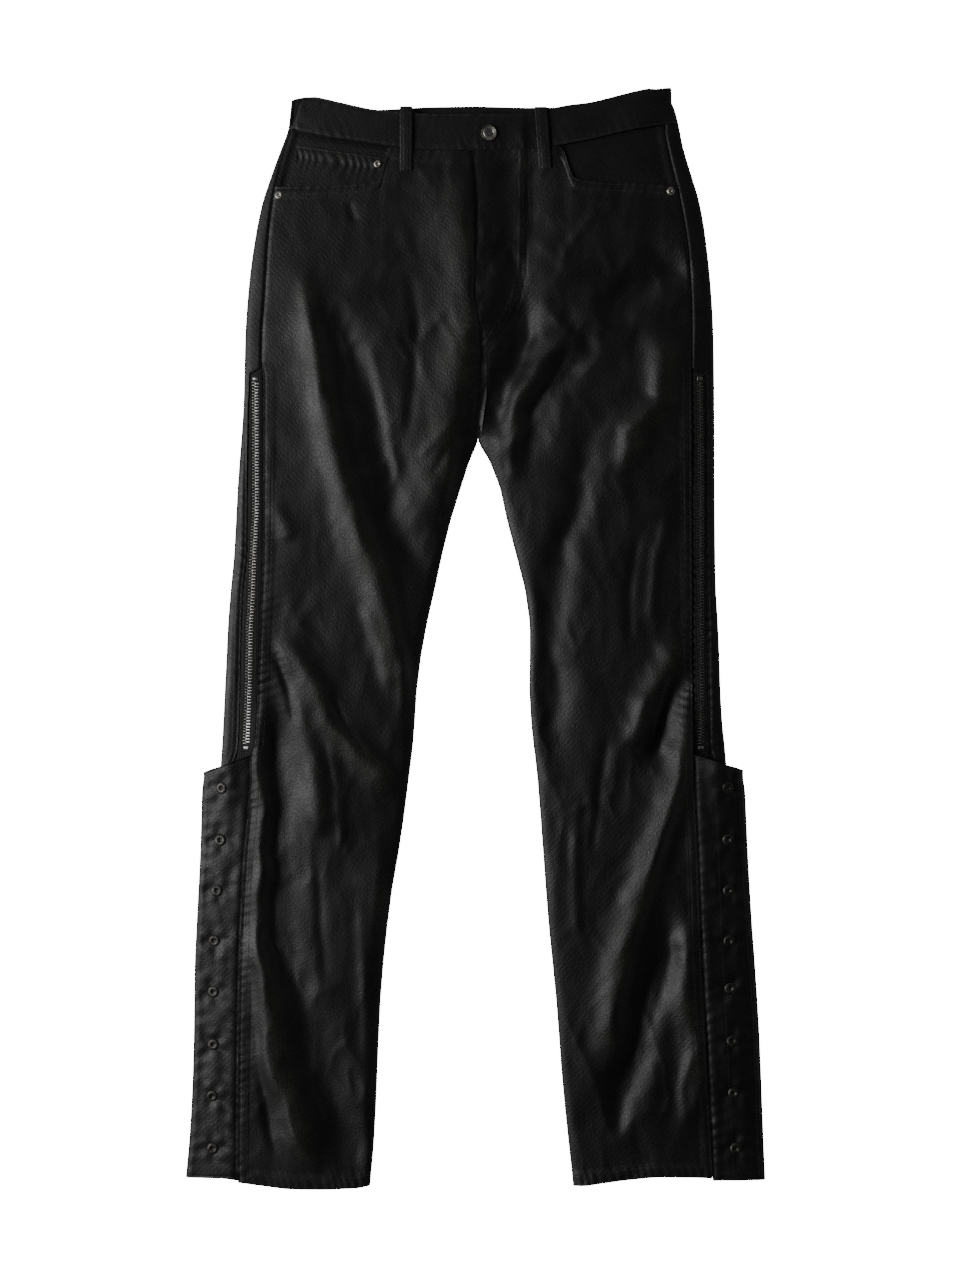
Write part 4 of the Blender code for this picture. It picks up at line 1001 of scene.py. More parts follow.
def pattern_of(piece):
    """The points and faces of a piece that is only a pattern for copies, which is then removed."""
    mesh = piece.data
    points = np.array([tuple(v.co) for v in mesh.vertices])
    faces = [list(face.vertices) for face in mesh.polygons]
    bpy.data.objects.remove(piece)
    return points, faces


def joined(name, vertices, faces, smooth_angle=40):
    """One mesh object of many small shapes, started from a primitive and given its points."""
    deselect()
    bpy.ops.mesh.primitive_cube_add(size=1)
    piece = bpy.context.object
    mesh = piece.data
    piece.name = mesh.name = name
    mesh.clear_geometry()
    mesh.from_pydata([tuple(map(float, point)) for point in vertices], [], faces)
    mesh.update()
    bpy.ops.object.shade_smooth_by_angle(angle=math.radians(smooth_angle))
    print(name, "has", len(mesh.polygons), "faces")
    return piece


def copies(name, pattern, spots, smooth_angle=40):
    """One mesh of many copies of a pattern, each at its own (place, normal, heading)."""
    points, faces = pattern
    vertices, all_faces = [], []
    for number, spot in enumerate(spots):
        vertices.append(standing(points, *spot))
        all_faces += [[number * len(points) + i for i in face] for face in faces]
    return joined(name, np.concatenate(vertices), all_faces, smooth_angle)


UP_THE_LEG = np.array([0.0, 1.0, 0.0])
TO_THE_LEFT = np.array([1.0, 0.0, 0.0])

# %% [markdown]
# ## The zip's teeth
# A metal zip has one row of teeth on each tape, and the rows mesh in the middle: each tooth lies half a
# step further along than its neighbour on the other tape. One tooth is modelled from a cube: its top is
# drawn in, and its end is extruded into the little head that locks.

# %% Zip teeth
TOOTH_STEP = 3.0
TOOTH_AWAY = 1.75  # a row's middle, from the middle of the zip
TOOTH_SIZE = (3.6, 1.5, 1.3)


def select_faces(mesh, wanted):
    """Selects the faces whose normal wanted says yes to, and goes back to edit mode."""
    bpy.ops.object.mode_set(mode="OBJECT")
    for face in mesh.polygons:
        face.select = wanted(face.normal)
    bpy.ops.object.mode_set(mode="EDIT")


def edit_alone(piece):
    """Opens a new piece in edit mode with its faces ready to be picked."""
    bpy.ops.object.mode_set(mode="EDIT")
    bpy.ops.mesh.select_mode(type="FACE")
    bpy.ops.mesh.select_all(action="SELECT")
    return piece.data


def one_tooth():
    deselect()
    bpy.ops.mesh.primitive_cube_add(size=MM)
    mesh = edit_alone(bpy.context.object)
    bpy.ops.transform.resize(value=TOOTH_SIZE)
    bpy.ops.transform.translate(value=(0, 0, 0.25 * MM))
    select_faces(mesh, lambda normal: normal.z > 0.9)
    bpy.ops.transform.resize(value=(0.85, 0.6, 1))
    select_faces(mesh, lambda normal: normal.x > 0.8)
    bpy.ops.mesh.extrude_region_move(TRANSFORM_OT_translate={"value": (0.7 * MM, 0, 0)})
    bpy.ops.transform.resize(value=(1, 1.15, 0.8))
    bpy.ops.object.mode_set(mode="OBJECT")
    return pattern_of(bpy.context.object)


def zip_teeth(leg):
    tree = tree_of(tapes[leg])
    spots = []
    for number in range(int((ZIP_END - ZIP_TOP - 9) / (TOOTH_STEP / 2))):
        down = ZIP_TOP + 8 + number * TOOTH_STEP / 2
        side = 1 if number % 2 else -1
        x = float(teeth_line(leg, down)) + side * TOOTH_AWAY
        spots.append((*surface(tree, x, down), -side * TO_THE_LEFT))
    return copies(f"teeth_{leg}", TOOTH, spots, 20)


TOOTH = one_tooth()
teeth = {leg: zip_teeth(leg) for leg in LEGS}

# %% [markdown]
# A bent metal stop closes the top of the teeth, and another their lower end. It is a cube with its
# edges bevelled.

# %% Zip stops
STOP_SIZE = (5.4, 3.4, 1.9)


def zip_stop():
    deselect()
    bpy.ops.mesh.primitive_cube_add(size=MM)
    edit_alone(bpy.context.object)
    bpy.ops.transform.resize(value=STOP_SIZE)
    bpy.ops.mesh.bevel(offset=0.6 * MM, segments=3)
    bpy.ops.object.mode_set(mode="OBJECT")
    return pattern_of(bpy.context.object)


STOP = zip_stop()
stops = {}
for leg in LEGS:
    tree = tree_of(tapes[leg])
    ends = [(teeth_line(leg, down), down) for down in (ZIP_TOP + 4.5, ZIP_END + 1.5)]
    stops[leg] = copies(f"stops_{leg}", STOP, [(*surface(tree, x, down), TO_THE_LEFT) for x, down in ends])

# %% [markdown]
# ## Snaps, rivets and the button
# Each is a round pressed piece. A circle is extruded and resized, ring by ring, up its outline from the
# cloth to its middle, and the last ring is merged. It is modelled once and copied to where it belongs.

# %% Pressed and turned hardware
SNAP = [(0, 0.3), (0.9, 0.35), (1.3, 0.65), (1.7, 1.2), (2.5, 1.6), (3.6, 1.75), (4.8, 1.55), (5.6, 1.05),
        (6.0, 0.4), (6.1, -0.8)]  # (radius, height above the cloth)
RIVET = [(0, 0.5), (0.9, 0.5), (1.3, 0.8), (1.7, 1.3), (2.4, 1.5), (3.2, 1.3), (3.8, 0.7), (4.1, 0.1),
         (4.1, -0.6)]
BUTTON = [(0, 2.2), (3.6, 2.25), (4.2, 2.2), (4.6, 2.45), (5.2, 2.55), (5.6, 2.3), (6.2, 2.4), (6.9, 2.8),
          (7.5, 2.75), (7.85, 2.3), (7.9, 1.8), (7.4, 1.2), (5.0, 1.0), (5.0, -0.5)]


def pressed(outline, sides):
    """A round piece from its outline, listed from its middle out and down."""
    deselect()
    radius, height = outline[-1]
    bpy.ops.mesh.primitive_circle_add(vertices=sides, radius=radius * MM, fill_type="NGON")
    edit_alone(bpy.context.object)
    bpy.ops.transform.translate(value=(0, 0, height * MM))
    for new_radius, new_height in outline[-2::-1]:
        bpy.ops.mesh.extrude_region_move(TRANSFORM_OT_translate={"value": (0, 0, (new_height - height) * MM)})
        if new_radius > 0:
            share = new_radius / radius
            bpy.ops.transform.resize(value=(share, share, 1), center_override=(0, 0, new_height * MM))
        else:
            bpy.ops.mesh.merge(type="CENTER")
        radius, height = new_radius, new_height
    bpy.ops.mesh.select_all(action="SELECT")
    bpy.ops.mesh.normals_make_consistent(inside=False)
    bpy.ops.object.mode_set(mode="OBJECT")
    return pattern_of(bpy.context.object)


def one_piece(name, pattern, tree, x, down):
    """One copy of a pattern, standing on the cloth."""
    return copies(name, pattern, [(*surface(tree, x, down), UP_THE_LEG)], 35)


SNAP_PATTERN, RIVET_PATTERN, BUTTON_PATTERN = pressed(SNAP, 32), pressed(RIVET, 28), pressed(BUTTON, 48)
caps = {}
for leg in LEGS:
    tree = tree_of(flaps[leg])
    for number, (down, x) in enumerate(SNAPS[leg], 1):
        caps[f"snap_{leg}_{number}"] = one_piece(f"cap_{leg}_{number}", SNAP_PATTERN, tree, x, down)
rivets = {
    "rivet_right_side": one_piece("rivet_right", RIVET_PATTERN, tree_of(fronts["right"]), -196, 109),
    "rivet_left_side": one_piece("rivet_left", RIVET_PATTERN, tree_of(fronts["left"]), 194.5, 105),
    "rivet_coin_pocket": one_piece("rivet_coin", RIVET_PATTERN, tree_of(coin), -97.5, 78),
}
button = one_piece("button_waist", BUTTON_PATTERN, tree_of(band), 13.3, 47.7)

# %% [markdown]
# ## The stitching
# Jeans are held together by long straight stitches of thick thread, here black on black. One stitch is a
# small sphere drawn out long. It is copied along each seam line, a little more than its own length
# apart, and every copy is laid on the cloth by a ray.

# %% Stitches
STITCH_STEP, TAPE_STEP, BAR_STEP = 3.4, 2.6, 0.8  # on a seam, beside a zip, and in a bar across a loop
STITCH_HALF = 1.3
THREAD = 0.3  # half its thickness
FLAP_LINES = (2.0, 21.0)  # two long lines on a flap, from its seam
SIDE_LINE_END, HEM_READ = 1074, 1080  # where the side's lines end, and where the hem line's ends are read
BACK_LINE, BACK_LINE_ENDS = 2.5, (110, 348)  # beside the centre back seam, and from where to where down


def one_stitch():
    deselect()
    along_x = (0, math.pi / 2, 0)
    bpy.ops.mesh.primitive_uv_sphere_add(segments=6, ring_count=4, radius=THREAD * MM, rotation=along_x)
    bpy.ops.object.transform_apply(location=True, rotation=True, scale=True)
    edit_alone(bpy.context.object)
    bpy.ops.transform.resize(value=(STITCH_HALF / THREAD, 1, 1))
    bpy.ops.object.mode_set(mode="OBJECT")
    return pattern_of(bpy.context.object)


def beside(line, away):
    """A line of (x, down) points moved sideways by this much."""
    line = np.asarray(line, float)
    along = np.gradient(line, axis=0)
    along /= np.linalg.norm(along, axis=1, keepdims=True)
    return line + away * np.stack([-along[:, 1], along[:, 0]], axis=1)


def sewn_line(tree, line, step, below):
    """Spots for stitches along a line of (x, down) points, on the top side or on the underside."""
    line = np.asarray(line, float)
    length = np.append(0, np.cumsum(np.hypot(*np.diff(line, axis=0).T)))

    def point(at):
        return np.array([np.interp(at, length, line[:, axis]) for axis in (0, 1)])

    spots = []
    for at in np.arange(step / 2, length[-1], step):
        x, down = point(at)
        ahead = point(at + 0.5) - point(at - 0.5)
        place, normal = surface(tree, x, down, below)
        if place is not None:
            spots.append((place, normal, np.array([ahead[0], -ahead[1], 0.0])))
    return spots


def sewn(piece, lines, step=STITCH_STEP, below=False):
    """Spots for all the stitches of these lines on one piece."""
    tree = tree_of(piece)
    return [spot for line in lines for spot in sewn_line(tree, line, step, below)]


def down_line(edge, offset, start, end, step=6.0):
    """A line that keeps this far from an edge x(down)."""
    down = np.linspace(start, end, 2 + int(abs(end - start) / step))
    return np.stack([edge(down) + offset, down], axis=1)


def x_line(edge, offset, start, end, step=4.0):
    """A line that keeps this far below an edge down(x)."""
    x = np.linspace(start, end, 2 + int(abs(end - start) / step))
    return np.stack([x, edge(x) + offset], axis=1)


def front_lines(leg, way):
    """The side seam, the pocket mouth and the hem, and on the left the fly."""
    lines = [down_line(SIDE_SEAM[leg], way * away, ZIP_TOP - 6, SIDE_LINE_END) for away in SEAM_LINES]
    mouth = x_line(SCOOP[leg], 0, SIDE_SEAM[leg](POCKET_CORNER + 2) + 3 * way, MOUTH_END[leg] - way, 1.5)
    lines += [beside(mouth, way * away) for away in SEAM_LINES]
    inner, side = INNER[leg](HEM_READ), SIDE_SEAM[leg](HEM_READ)
    lines.append(x_line(HEM[leg], -HEM_LINE, side + 2 * way, inner - 2 * way))
    if leg == "left":
        j_line = np.array(J_LINE)[:, ::-1]
        lines += [j_line, beside(j_line, J_GAP)]
        lines.append(down_line(INNER[leg], FLY_LINES[0], FLY_END - 12, CROTCH_DOWN - 4, 2.0))
        lines.append(down_line(INNER[leg], FLY_LINES[1], FLY_END, CROTCH_DOWN - 8, 2.0))
    return lines


def flap_lines(leg, way):
    """Along the free edge and the seam, and across both ends."""
    end, drop = FLAP_BOTTOM[leg] - 4, FLAP_CORNER[leg] - FLAP_TOP
    lines = [down_line(FLAP_EDGE[leg], way * 6, FLAP_CORNER[leg] + 5, end)]
    lines += [down_line(SIDE_SEAM[leg], -way * away, FLAP_TOP + 6, end) for away in FLAP_LINES]
    for down, slope, lift in ((FLAP_TOP + 12, drop, 8), (FLAP_BOTTOM[leg] - 8, 0, 0)):
        seam = SIDE_SEAM[leg](down) - 3 * way
        edge = FLAP_EDGE[leg](max(down + slope, FLAP_READ[0])) + 3 * way
        lines.append([(seam, down - lift), (edge, down - lift + slope)])
    return lines


def tape_lines(leg, way):
    """Just inside both edges that lie on the tape."""
    edges = ((WRAP_END[leg], way * 1.4), (SIDE_SEAM[leg], -way * 1.6))
    return [down_line(edge, offset, ZIP_TOP, ZIP_END + 4) for edge, offset in edges]


def pocket_lines(way):
    """Two lines inside a back pocket's outline, and one across its hem."""
    size = POCKET_SHAPE
    middle, top = CROTCH_X - way * POCKET_AWAY, size["top"]
    half_top, half_bottom = size["half_top"], size["half_bottom"]
    side, point = size["side"] - top, size["point"] - top
    outline = [(-half_top, 0), (-half_bottom, side), (0, point), (half_bottom, side), (half_top, 0)]
    lines = []
    for away in SEAM_LINES:
        shrink_x, shrink_down = 1 - away / half_bottom, 1 - away / point
        lines.append([(middle + x * shrink_x, top + down * shrink_down) for x, down in outline])
    across, hem = half_top - 3, top + HEM_LINE
    return [*lines, [(middle - across, hem), (middle + across, hem)]]


def back_lines(leg, way):
    """Below the yoke's seam and beside the centre back seam."""
    low, high = sorted((OUTER[leg](90) + 6 * way, CROTCH_X - 2 * way))
    lines = [x_line(YOKE_SEAM, away, low, high) for away in SEAM_LINES]
    return [*lines, down_line(even(CROTCH_X), -way * BACK_LINE, *BACK_LINE_ENDS)]


def band_lines():
    """Along both edges on either side of the fly, and down the lapped end."""
    fly_x = float(INNER["left"](FLY_TOP))
    lines = [down_line(INNER["left"], 2.0, BAND_TOP["front"](0) + 3, BAND_SEAM["front"](0) - 3)]
    for start, end in ((-181, fly_x - 2), (fly_x + 2, 182)):
        lines.append(x_line(BAND_TOP["front"], SEAM_LINES[0], start, end))
        lines.append(x_line(BAND_SEAM["front"], -SEAM_LINES[0], start, end))
    return lines


def loop_spots(leg):
    """Two long lines on a front loop, and a bar of close stitches across its lower end."""
    (top_x, top), (bottom_x, bottom) = FRONT_LOOPS[leg]
    side = LOOP_HALF - LOOP_LINE
    lines = [[(top_x + away, top + 2), (bottom_x + away, bottom - 2)] for away in (-side, side)]
    bar = [(bottom_x - 5, bottom - 3), (bottom_x + 5, bottom - 3)]
    return sewn(front_loops[leg], lines) + sewn(front_loops[leg], [bar], BAR_STEP)


STITCH = one_stitch()
stitching = {}


def stitch(name, slot, spots):
    stitching[name] = copies(name, STITCH, spots), slot


for leg, way in LEGS.items():
    stitch(f"front_stitches_{leg}", "front_panels", sewn(fronts[leg], front_lines(leg, way)))
    stitch(f"flap_stitches_{leg}", "snap_flaps", sewn(flaps[leg], flap_lines(leg, way)))
    stitch(f"zip_stitches_{leg}", "zip_tapes", sewn(tapes[leg], tape_lines(leg, way), TAPE_STEP))
    on_pocket = sewn(back_pockets[leg], pocket_lines(way), below=True)
    stitch(f"back_pocket_stitches_{leg}", "back_pockets", on_pocket)
    stitch(f"back_stitches_{leg}", "back_panels", sewn(backs[leg], back_lines(leg, way), below=True))
stitch("band_stitches", "waistband", sewn(band, band_lines()))
coin_lines = [[(x, down + away) for x, down in COIN_TOP] for away in SEAM_LINES]
stitch("coin_stitches", "coin_pocket", sewn(coin, coin_lines))
stitch("loop_stitches", "belt_loops", [spot for leg in LEGS for spot in loop_spots(leg)])

# %% [markdown]
# ## Materials
# Waxed denim is a twill under a coat of wax. The wax fills the weave, so what shows is a fine pebbled
# grain, a hint of the diagonal twill, and a satin sheen that breaks up where the cloth has creased. On
# the ridges the colour is painted a little paler and warmer: partly wax worn by use, and partly a painted
# highlight. Near the seams it is paler in patches where the wax is worn. One node group makes these
# patterns from the UV map, which is in metres, and from the two attributes.

# %% Small helpers for node trees
FLOAT, COLOUR = "NodeSocketFloat", "NodeSocketColor"
PATTERNS = [("Color", COLOUR), ("Roughness", FLOAT), ("Height", FLOAT)]  # what every group gives


def feed(tree, node, inputs):
    """Links a node's inputs to sockets, or sets them to values."""
    for key, value in dict(inputs).items():
        if isinstance(value, bpy.types.NodeSocket):
            tree.links.new(value, node.inputs[key])
        else:
            node.inputs[key].default_value = value


def new_node(tree, kind, inputs=(), **settings):
    made = tree.nodes.new(kind)
    for key, value in settings.items():
        setattr(made, key, value)
    feed(tree, made, inputs)
    return made


def maths(tree, operation, a, b=0.0):
    return new_node(tree, "ShaderNodeMath", {0: a, 1: b}, operation=operation).outputs[0]


def times(tree, a, b):
    return maths(tree, "MULTIPLY", a, b)


def remap(tree, value, low, high, to_low, to_high):
    """A value moved from one range to another, and held inside it."""
    inputs = {"Value": value, "From Min": low, "From Max": high, "To Min": to_low, "To Max": to_high}
    return new_node(tree, "ShaderNodeMapRange", inputs, clamp=True).outputs["Result"]


def noise(tree, place, scale, detail, output="Fac"):
    inputs = {"Vector": place, "Scale": scale, "Detail": detail}
    return new_node(tree, "ShaderNodeTexNoise", inputs).outputs[output]


def blend_colours(tree, share, a, b):
    return new_node(tree, "ShaderNodeMix", {0: share, 6: a, 7: b}, data_type="RGBA").outputs[2]


def revalued(tree, colour, value):
    """The same colour, darker or paler."""
    return new_node(tree, "ShaderNodeHueSaturation", {"Color": colour, "Value": value}).outputs["Color"]


def group(name, *inputs):
    """An empty group of patterns with its input sockets, each (name, kind, value)."""
    tree = bpy.data.node_groups.new(name, "ShaderNodeTree")
    for label, kind, value in inputs:
        tree.interface.new_socket(label, in_out="INPUT", socket_type=kind).default_value = value
    for label, kind in PATTERNS:
        tree.interface.new_socket(label, in_out="OUTPUT", socket_type=kind)
    return tree, tree.nodes.new("NodeGroupInput").outputs


def gives(tree, *sockets):
    """Links what a group has made to its outputs, and ends it."""
    result = tree.nodes.new("NodeGroupOutput").inputs
    for (label, _), socket in zip(PATTERNS, sockets):
        tree.links.new(socket, result[label])
    return tree


# %% The waxed cloth's patterns
GRAIN, TWILL, CRAZE = 620.0, 700.0, 190.0  # per metre


def waxed_patterns():
    tree, given = group(
        "waxed cloth", ("Wax", COLOUR, (0.0042, 0.0042, 0.0041, 1)), ("Grain height", FLOAT, 0.10),
        # the paler, warmer colour of the ridges: partly worn wax, partly a painted highlight
        ("Rubbed and highlight", COLOUR, (0.020, 0.0195, 0.0175, 1)), ("Roughness", FLOAT, 0.5),
    )
    uv = new_node(tree, "ShaderNodeUVMap").outputs[0]
    seam = new_node(tree, "ShaderNodeAttribute", attribute_name="seam").outputs["Fac"]
    ridge = new_node(tree, "ShaderNodeAttribute", attribute_name="ridge").outputs["Fac"]
    warp = {0: noise(tree, uv, 260.0, 2.0, "Color"), 1: (0.0016, 0.0016, 0)}
    bent = new_node(tree, "ShaderNodeVectorMath", warp, operation="MULTIPLY").outputs[0]
    place = new_node(tree, "ShaderNodeVectorMath", {0: uv, 1: bent}, operation="ADD").outputs[0]
    pebbles = {"Vector": place, "Scale": GRAIN, "Smoothness": 0.4}
    pebbles = new_node(tree, "ShaderNodeTexVoronoi", pebbles, feature="SMOOTH_F1").outputs["Distance"]
    pebble = remap(tree, pebbles, 0.1, 0.75, 1.0, 0.0)
    fine, broad = noise(tree, uv, 420.0, 4.0), noise(tree, uv, 24.0, 3.0)
    ribs = {"Vector": place, "Scale": TWILL / 6.28, "Distortion": 0.6}
    twill = new_node(tree, "ShaderNodeTexWave", ribs, bands_direction="DIAGONAL").outputs["Fac"]
    cells = {"Vector": place, "Scale": CRAZE}
    cracks = new_node(tree, "ShaderNodeTexVoronoi", cells, feature="DISTANCE_TO_EDGE").outputs["Distance"]
    craze = remap(tree, cracks, 0.0, 0.10, 1.0, 0.0)
    groove = remap(tree, seam, 0.0, 1.6, 1.0, 0.0)
    near_seam = remap(tree, seam, 0.5, 6.0, 1.0, 0.0)
    # painted highlight and wear: the ridges are painted paler and warmer, partly as worn wax and partly as a
    # painted highlight; near the seams the paler patches are wear
    worn = times(tree, ridge, remap(tree, broad, 0.35, 0.65, 0.35, 1.0))
    worn = maths(tree, "MAXIMUM", worn, times(tree, near_seam, remap(tree, broad, 0.4, 0.7, 0.0, 0.6)))
    rubbed_and_highlit = times(tree, worn, remap(tree, fine, 0.3, 0.7, 0.2, 1.0))
    colour = blend_colours(tree, rubbed_and_highlit, given["Wax"], given["Rubbed and highlight"])
    dull = remap(tree, fine, 0.3, 0.7, -0.06, 0.06)
    dull = maths(tree, "ADD", dull, remap(tree, broad, 0.3, 0.7, -0.05, 0.05))
    rough = maths(tree, "ADD", given["Roughness"], dull)
    height = times(tree, pebble, given["Grain height"])
    height = maths(tree, "ADD", height, times(tree, fine, 0.11))
    height = maths(tree, "ADD", height, times(tree, twill, 0.03))
    height = maths(tree, "SUBTRACT", height, times(tree, craze, times(tree, worn, 0.10)))
    height = maths(tree, "SUBTRACT", height, times(tree, groove, 0.22))
    return gives(tree, colour, rough, height)


WAXED = waxed_patterns()


# %% [markdown]
# The snaps, teeth, rivets and button are plated metal that has been handled: the plating has clouded
# unevenly, and the small knocks and scratches are duller. The tape is a plain weave, and the thread is a
# twisted cord. Each gets its own small pattern, from a group that is shared by all the metals.

# %% Metal, tape and thread
def worn_metal_patterns():
    tree, given = group("worn metal", ("Metal", COLOUR, (0.3, 0.3, 0.3, 1)), ("Roughness", FLOAT, 0.35))
    place = new_node(tree, "ShaderNodeTexCoord").outputs["Object"]
    cloud, knocks = noise(tree, place, 420.0, 3.0), noise(tree, place, 1600.0, 2.0)
    dark = revalued(tree, given["Metal"], 0.45)
    colour = blend_colours(tree, remap(tree, cloud, 0.38, 0.62, 0.0, 1.0), dark, given["Metal"])
    rough = maths(tree, "ADD", given["Roughness"], remap(tree, knocks, 0.3, 0.7, -0.08, 0.12))
    return gives(tree, colour, rough, times(tree, knocks, 0.06))


def woven_patterns():
    """A plain weave on the UV map: threads that pass over and under each other."""
    tree, given = group(
        "plain weave", ("Thread", COLOUR, (0.004, 0.004, 0.004, 1)), ("Roughness", FLOAT, 0.75),
        ("Lit", COLOUR, (0.012, 0.012, 0.012, 1)), ("Across", FLOAT, 130.0),
    )
    uv = new_node(tree, "ShaderNodeUVMap").outputs[0]
    threads = {"Vector": uv, "Scale": given["Across"]}
    warp, weft = (new_node(tree, "ShaderNodeTexWave", threads, bands_direction=axis) for axis in "XY")
    over = times(tree, warp.outputs["Fac"], weft.outputs["Fac"])
    colour = blend_colours(tree, over, given["Thread"], given["Lit"])
    rough = maths(tree, "ADD", given["Roughness"], times(tree, over, -0.1))
    return gives(tree, colour, rough, times(tree, over, 0.35))


def thread_patterns():
    """The slanting turns of a twisted thread."""
    tree, given = group(
        "twisted thread", ("Thread", COLOUR, (0.016, 0.016, 0.015, 1)), ("Roughness", FLOAT, 0.5)
    )
    place = new_node(tree, "ShaderNodeTexCoord").outputs["Object"]
    turns = {"Vector": place, "Scale": 500.0, "Distortion": 1.0}
    ply = new_node(tree, "ShaderNodeTexWave", turns, bands_direction="DIAGONAL").outputs["Fac"]
    pale = revalued(tree, given["Thread"], 2.6)
    worn = remap(tree, noise(tree, place, 60.0, 2.0), 0.4, 0.7, 0, 1)
    colour = blend_colours(tree, worn, given["Thread"], pale)
    rough = maths(tree, "ADD", given["Roughness"], times(tree, ply, 0.1))
    return gives(tree, colour, rough, times(tree, ply, 0.12))


def patterned(name, tree, metallic=0.0, **values):
    """A material that takes colour, roughness and bump from a group of patterns."""
    material = bpy.data.materials.new(name)
    material.use_nodes = True
    nodes = material.node_tree
    pattern = new_node(nodes, "ShaderNodeGroup", values, node_tree=tree).outputs
    bump = new_node(nodes, "ShaderNodeBump", {"Height": pattern["Height"], "Distance": MM})
    feed(nodes, nodes.nodes["Principled BSDF"], {
        "Base Color": pattern["Color"],
        "Roughness": pattern["Roughness"],
        "Normal": bump.outputs["Normal"],
        "Metallic": metallic,
    })
    return material


WORN_METAL = worn_metal_patterns()
waxed = patterned("waxed cloth", WAXED)
tape_weave = patterned("zip tape", woven_patterns())
thread = patterned("black thread", thread_patterns())
dark_metal = patterned("dark snap metal", WORN_METAL, 1.0, Metal=(0.10, 0.098, 0.094, 1), Roughness=0.5)
zip_metal = patterned("zip metal", WORN_METAL, 1.0, Metal=(0.50, 0.49, 0.47, 1), Roughness=0.36)
pale_metal = patterned("aged pale metal", WORN_METAL, 1.0, Metal=(0.62, 0.59, 0.53, 1), Roughness=0.34)

# %% [markdown]
# ## What each piece stands for
# Every piece rides on the jeans' one body. A shell or a piece of metal takes the place of the imported piece
# that it covers; the thread and the zip stops have none and only take a material.


def dressed(piece, material, node=None):
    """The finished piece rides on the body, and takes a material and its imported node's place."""
    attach(piece, "root")
    if node:
        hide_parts(node)
    piece.data.materials.clear()
    piece.data.materials.append(material)


def cloth(piece, node, slot):
    dressed(piece, tape_weave if slot == "zip_tapes" else waxed, node)


for leg in LEGS:
    cloth(fronts[leg], f"front_panel_{leg}", "front_panels")
    cloth(backs[leg], f"back_panel_{leg}", "back_panels")
    cloth(yokes[leg], f"back_yoke_{leg}", "yokes")
    cloth(back_pockets[leg], f"back_pocket_{leg}", "back_pockets")
    cloth(facings[leg], f"pocket_facing_{leg}", "pocket_facings")
    cloth(front_loops[leg], f"belt_loop_front_{leg}", "belt_loops")
    cloth(flaps[leg], f"snap_flap_{leg}", "snap_flaps")
    cloth(underlaps[leg], f"snap_underlap_{leg}", "snap_underlaps")
    cloth(tapes[leg], f"zip_tape_{leg}", "zip_tapes")
    dressed(teeth[leg], zip_metal, f"zip_chain_{leg}")
    dressed(stops[leg], zip_metal)
cloth(coin, "coin_pocket", "coin_pocket")
cloth(band, "waistband", "waistband")
for name, piece in back_loops.items():
    cloth(piece, f"belt_loop_back_{name}", "belt_loops")
for node, piece in caps.items():
    dressed(piece, dark_metal, node)
for node, piece in rivets.items():
    dressed(piece, pale_metal, node)
dressed(button, pale_metal, "waist_button")
for piece, slot in stitching.values():
    dressed(piece, thread)

# %% [markdown]
# ## The studio
# The photograph is taken from straight above, on a white ground, with soft light from the left. The
# ceiling is dark, so that the troughs stay dark, and the walls are pale: seen from the side, the waxed
# cloth mirrors them.

# %% Camera, light and floor
PHOTO_HEIGHT = 1.28  # metres that the picture's height covers
CAMERA_HEIGHT = 3.0
VIEW_MIDDLE = (0.0045, -0.002)
FLOOR_SIZE, FLOOR_DROP = 12, 0.0002  # the table lies a hair under the jeans
WHITE = 16.0  # so bright that the picture shows it as pure white
WALL_LIGHT, CEILING_LIGHT = 0.4, 0.012
WALL_TOP = (0.12, 0.4)  # how steeply up the walls start to darken, and where they are as dark as the ceiling
LIGHTS = [  # (name, place, size, power)
    ("key from the left", (-2.5, 0.15, 2.0), (1.2, 2.4), 72),
    ("fill from the right", (2.6, 0.6, 1.6), (1.6, 2.4), 2),
    ("top", (0.2, 2.6, 1.6), (2.4, 1.4), 3),
]


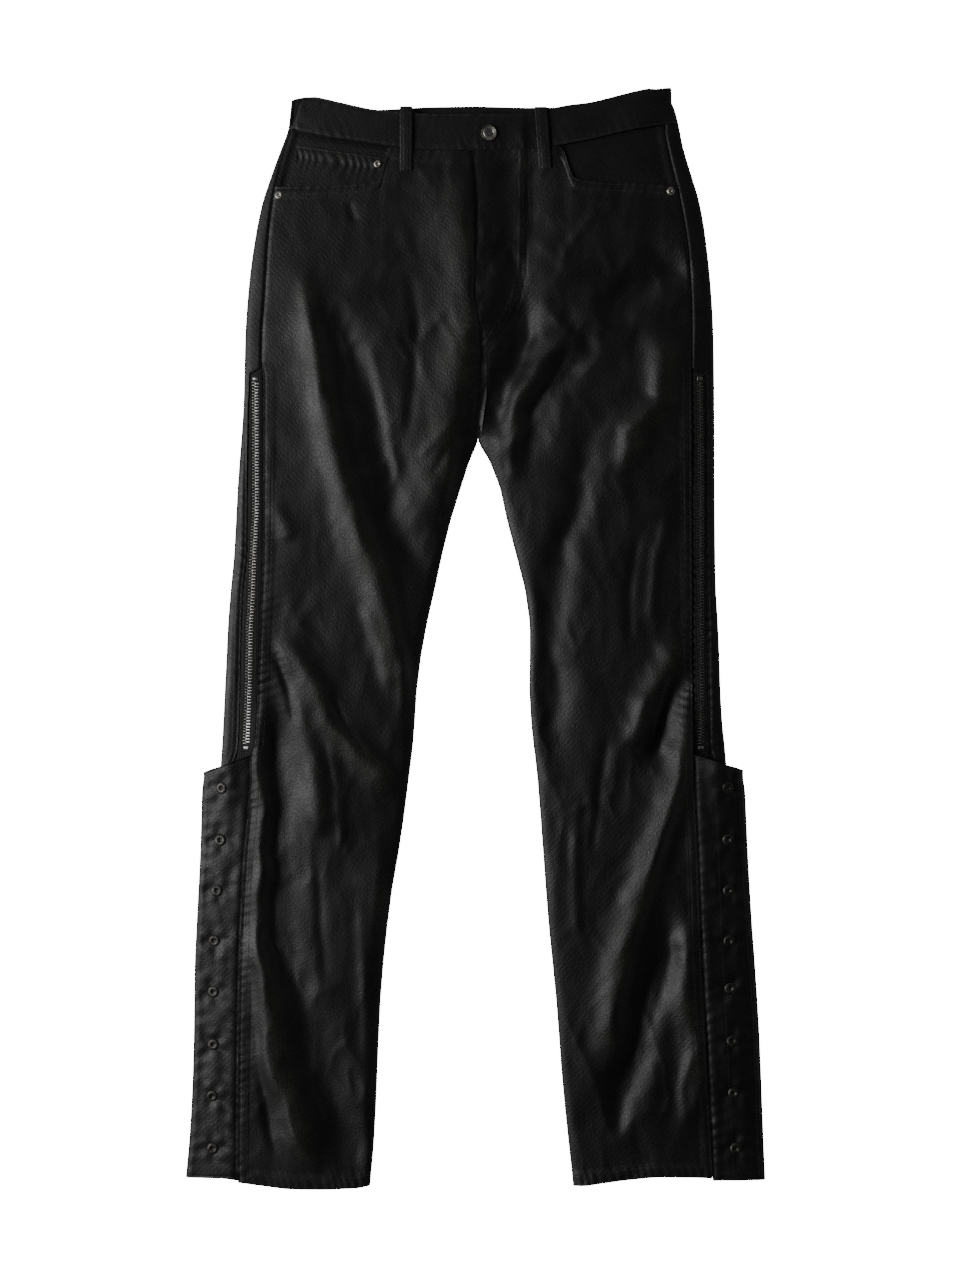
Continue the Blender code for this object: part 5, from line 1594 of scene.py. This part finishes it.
def soft_light(name, place, size, power):
    """A rectangle of light that is aimed at the middle of the jeans."""
    deselect()
    bpy.ops.object.light_add(type="AREA", location=place)
    light = bpy.context.object
    light.name = name
    light.rotation_euler = (-Vector(place)).to_track_quat("-Z", "Y").to_euler()
    light.data.shape = "RECTANGLE"
    light.data.size, light.data.size_y = size
    light.data.energy = power


for setup in LIGHTS:
    soft_light(*setup)
deselect()
bpy.ops.mesh.primitive_plane_add(size=FLOOR_SIZE, location=(0, 0, -FLOOR_DROP))
floor = bpy.context.object
floor.name = "floor"
paper = bpy.data.materials.new("white table")
paper.use_nodes = True
paper_tree = paper.node_tree
seen = new_node(paper_tree, "ShaderNodeLightPath").outputs["Is Camera Ray"]
feed(paper_tree, paper_tree.nodes["Principled BSDF"], {
    "Base Color": (0.85, 0.85, 0.85, 1),
    "Roughness": 0.9,
    "Emission Color": (1, 1, 1, 1),
    "Emission Strength": times(paper_tree, seen, WHITE),
})
floor.data.materials.append(paper)
world = bpy.data.worlds.new("studio")
bpy.context.scene.world = world
world.use_nodes = True
sky = world.node_tree
direction = new_node(sky, "ShaderNodeTexCoord").outputs["Generated"]
way_up = new_node(sky, "ShaderNodeSeparateXYZ", {0: direction}).outputs["Z"]
walls = remap(sky, way_up, *WALL_TOP, WALL_LIGHT, CEILING_LIGHT)
looked_at = new_node(sky, "ShaderNodeLightPath").outputs["Is Camera Ray"]
strength = new_node(sky, "ShaderNodeMix", {"Factor": looked_at, 2: walls, 3: WHITE}).outputs[0]
feed(sky, sky.nodes["Background"], {"Color": (1, 1, 1, 1), "Strength": strength})
deselect()
bpy.ops.object.camera_add(location=(*VIEW_MIDDLE, CAMERA_HEIGHT))
camera = bpy.context.object
camera.data.sensor_fit = "VERTICAL"
camera.data.sensor_height = 36.0
camera.data.lens = camera.data.sensor_height * CAMERA_HEIGHT / PHOTO_HEIGHT
bpy.context.scene.camera = camera

# %% [markdown]
# ## Finish

# %% Finish
bpy.context.view_layer.update()
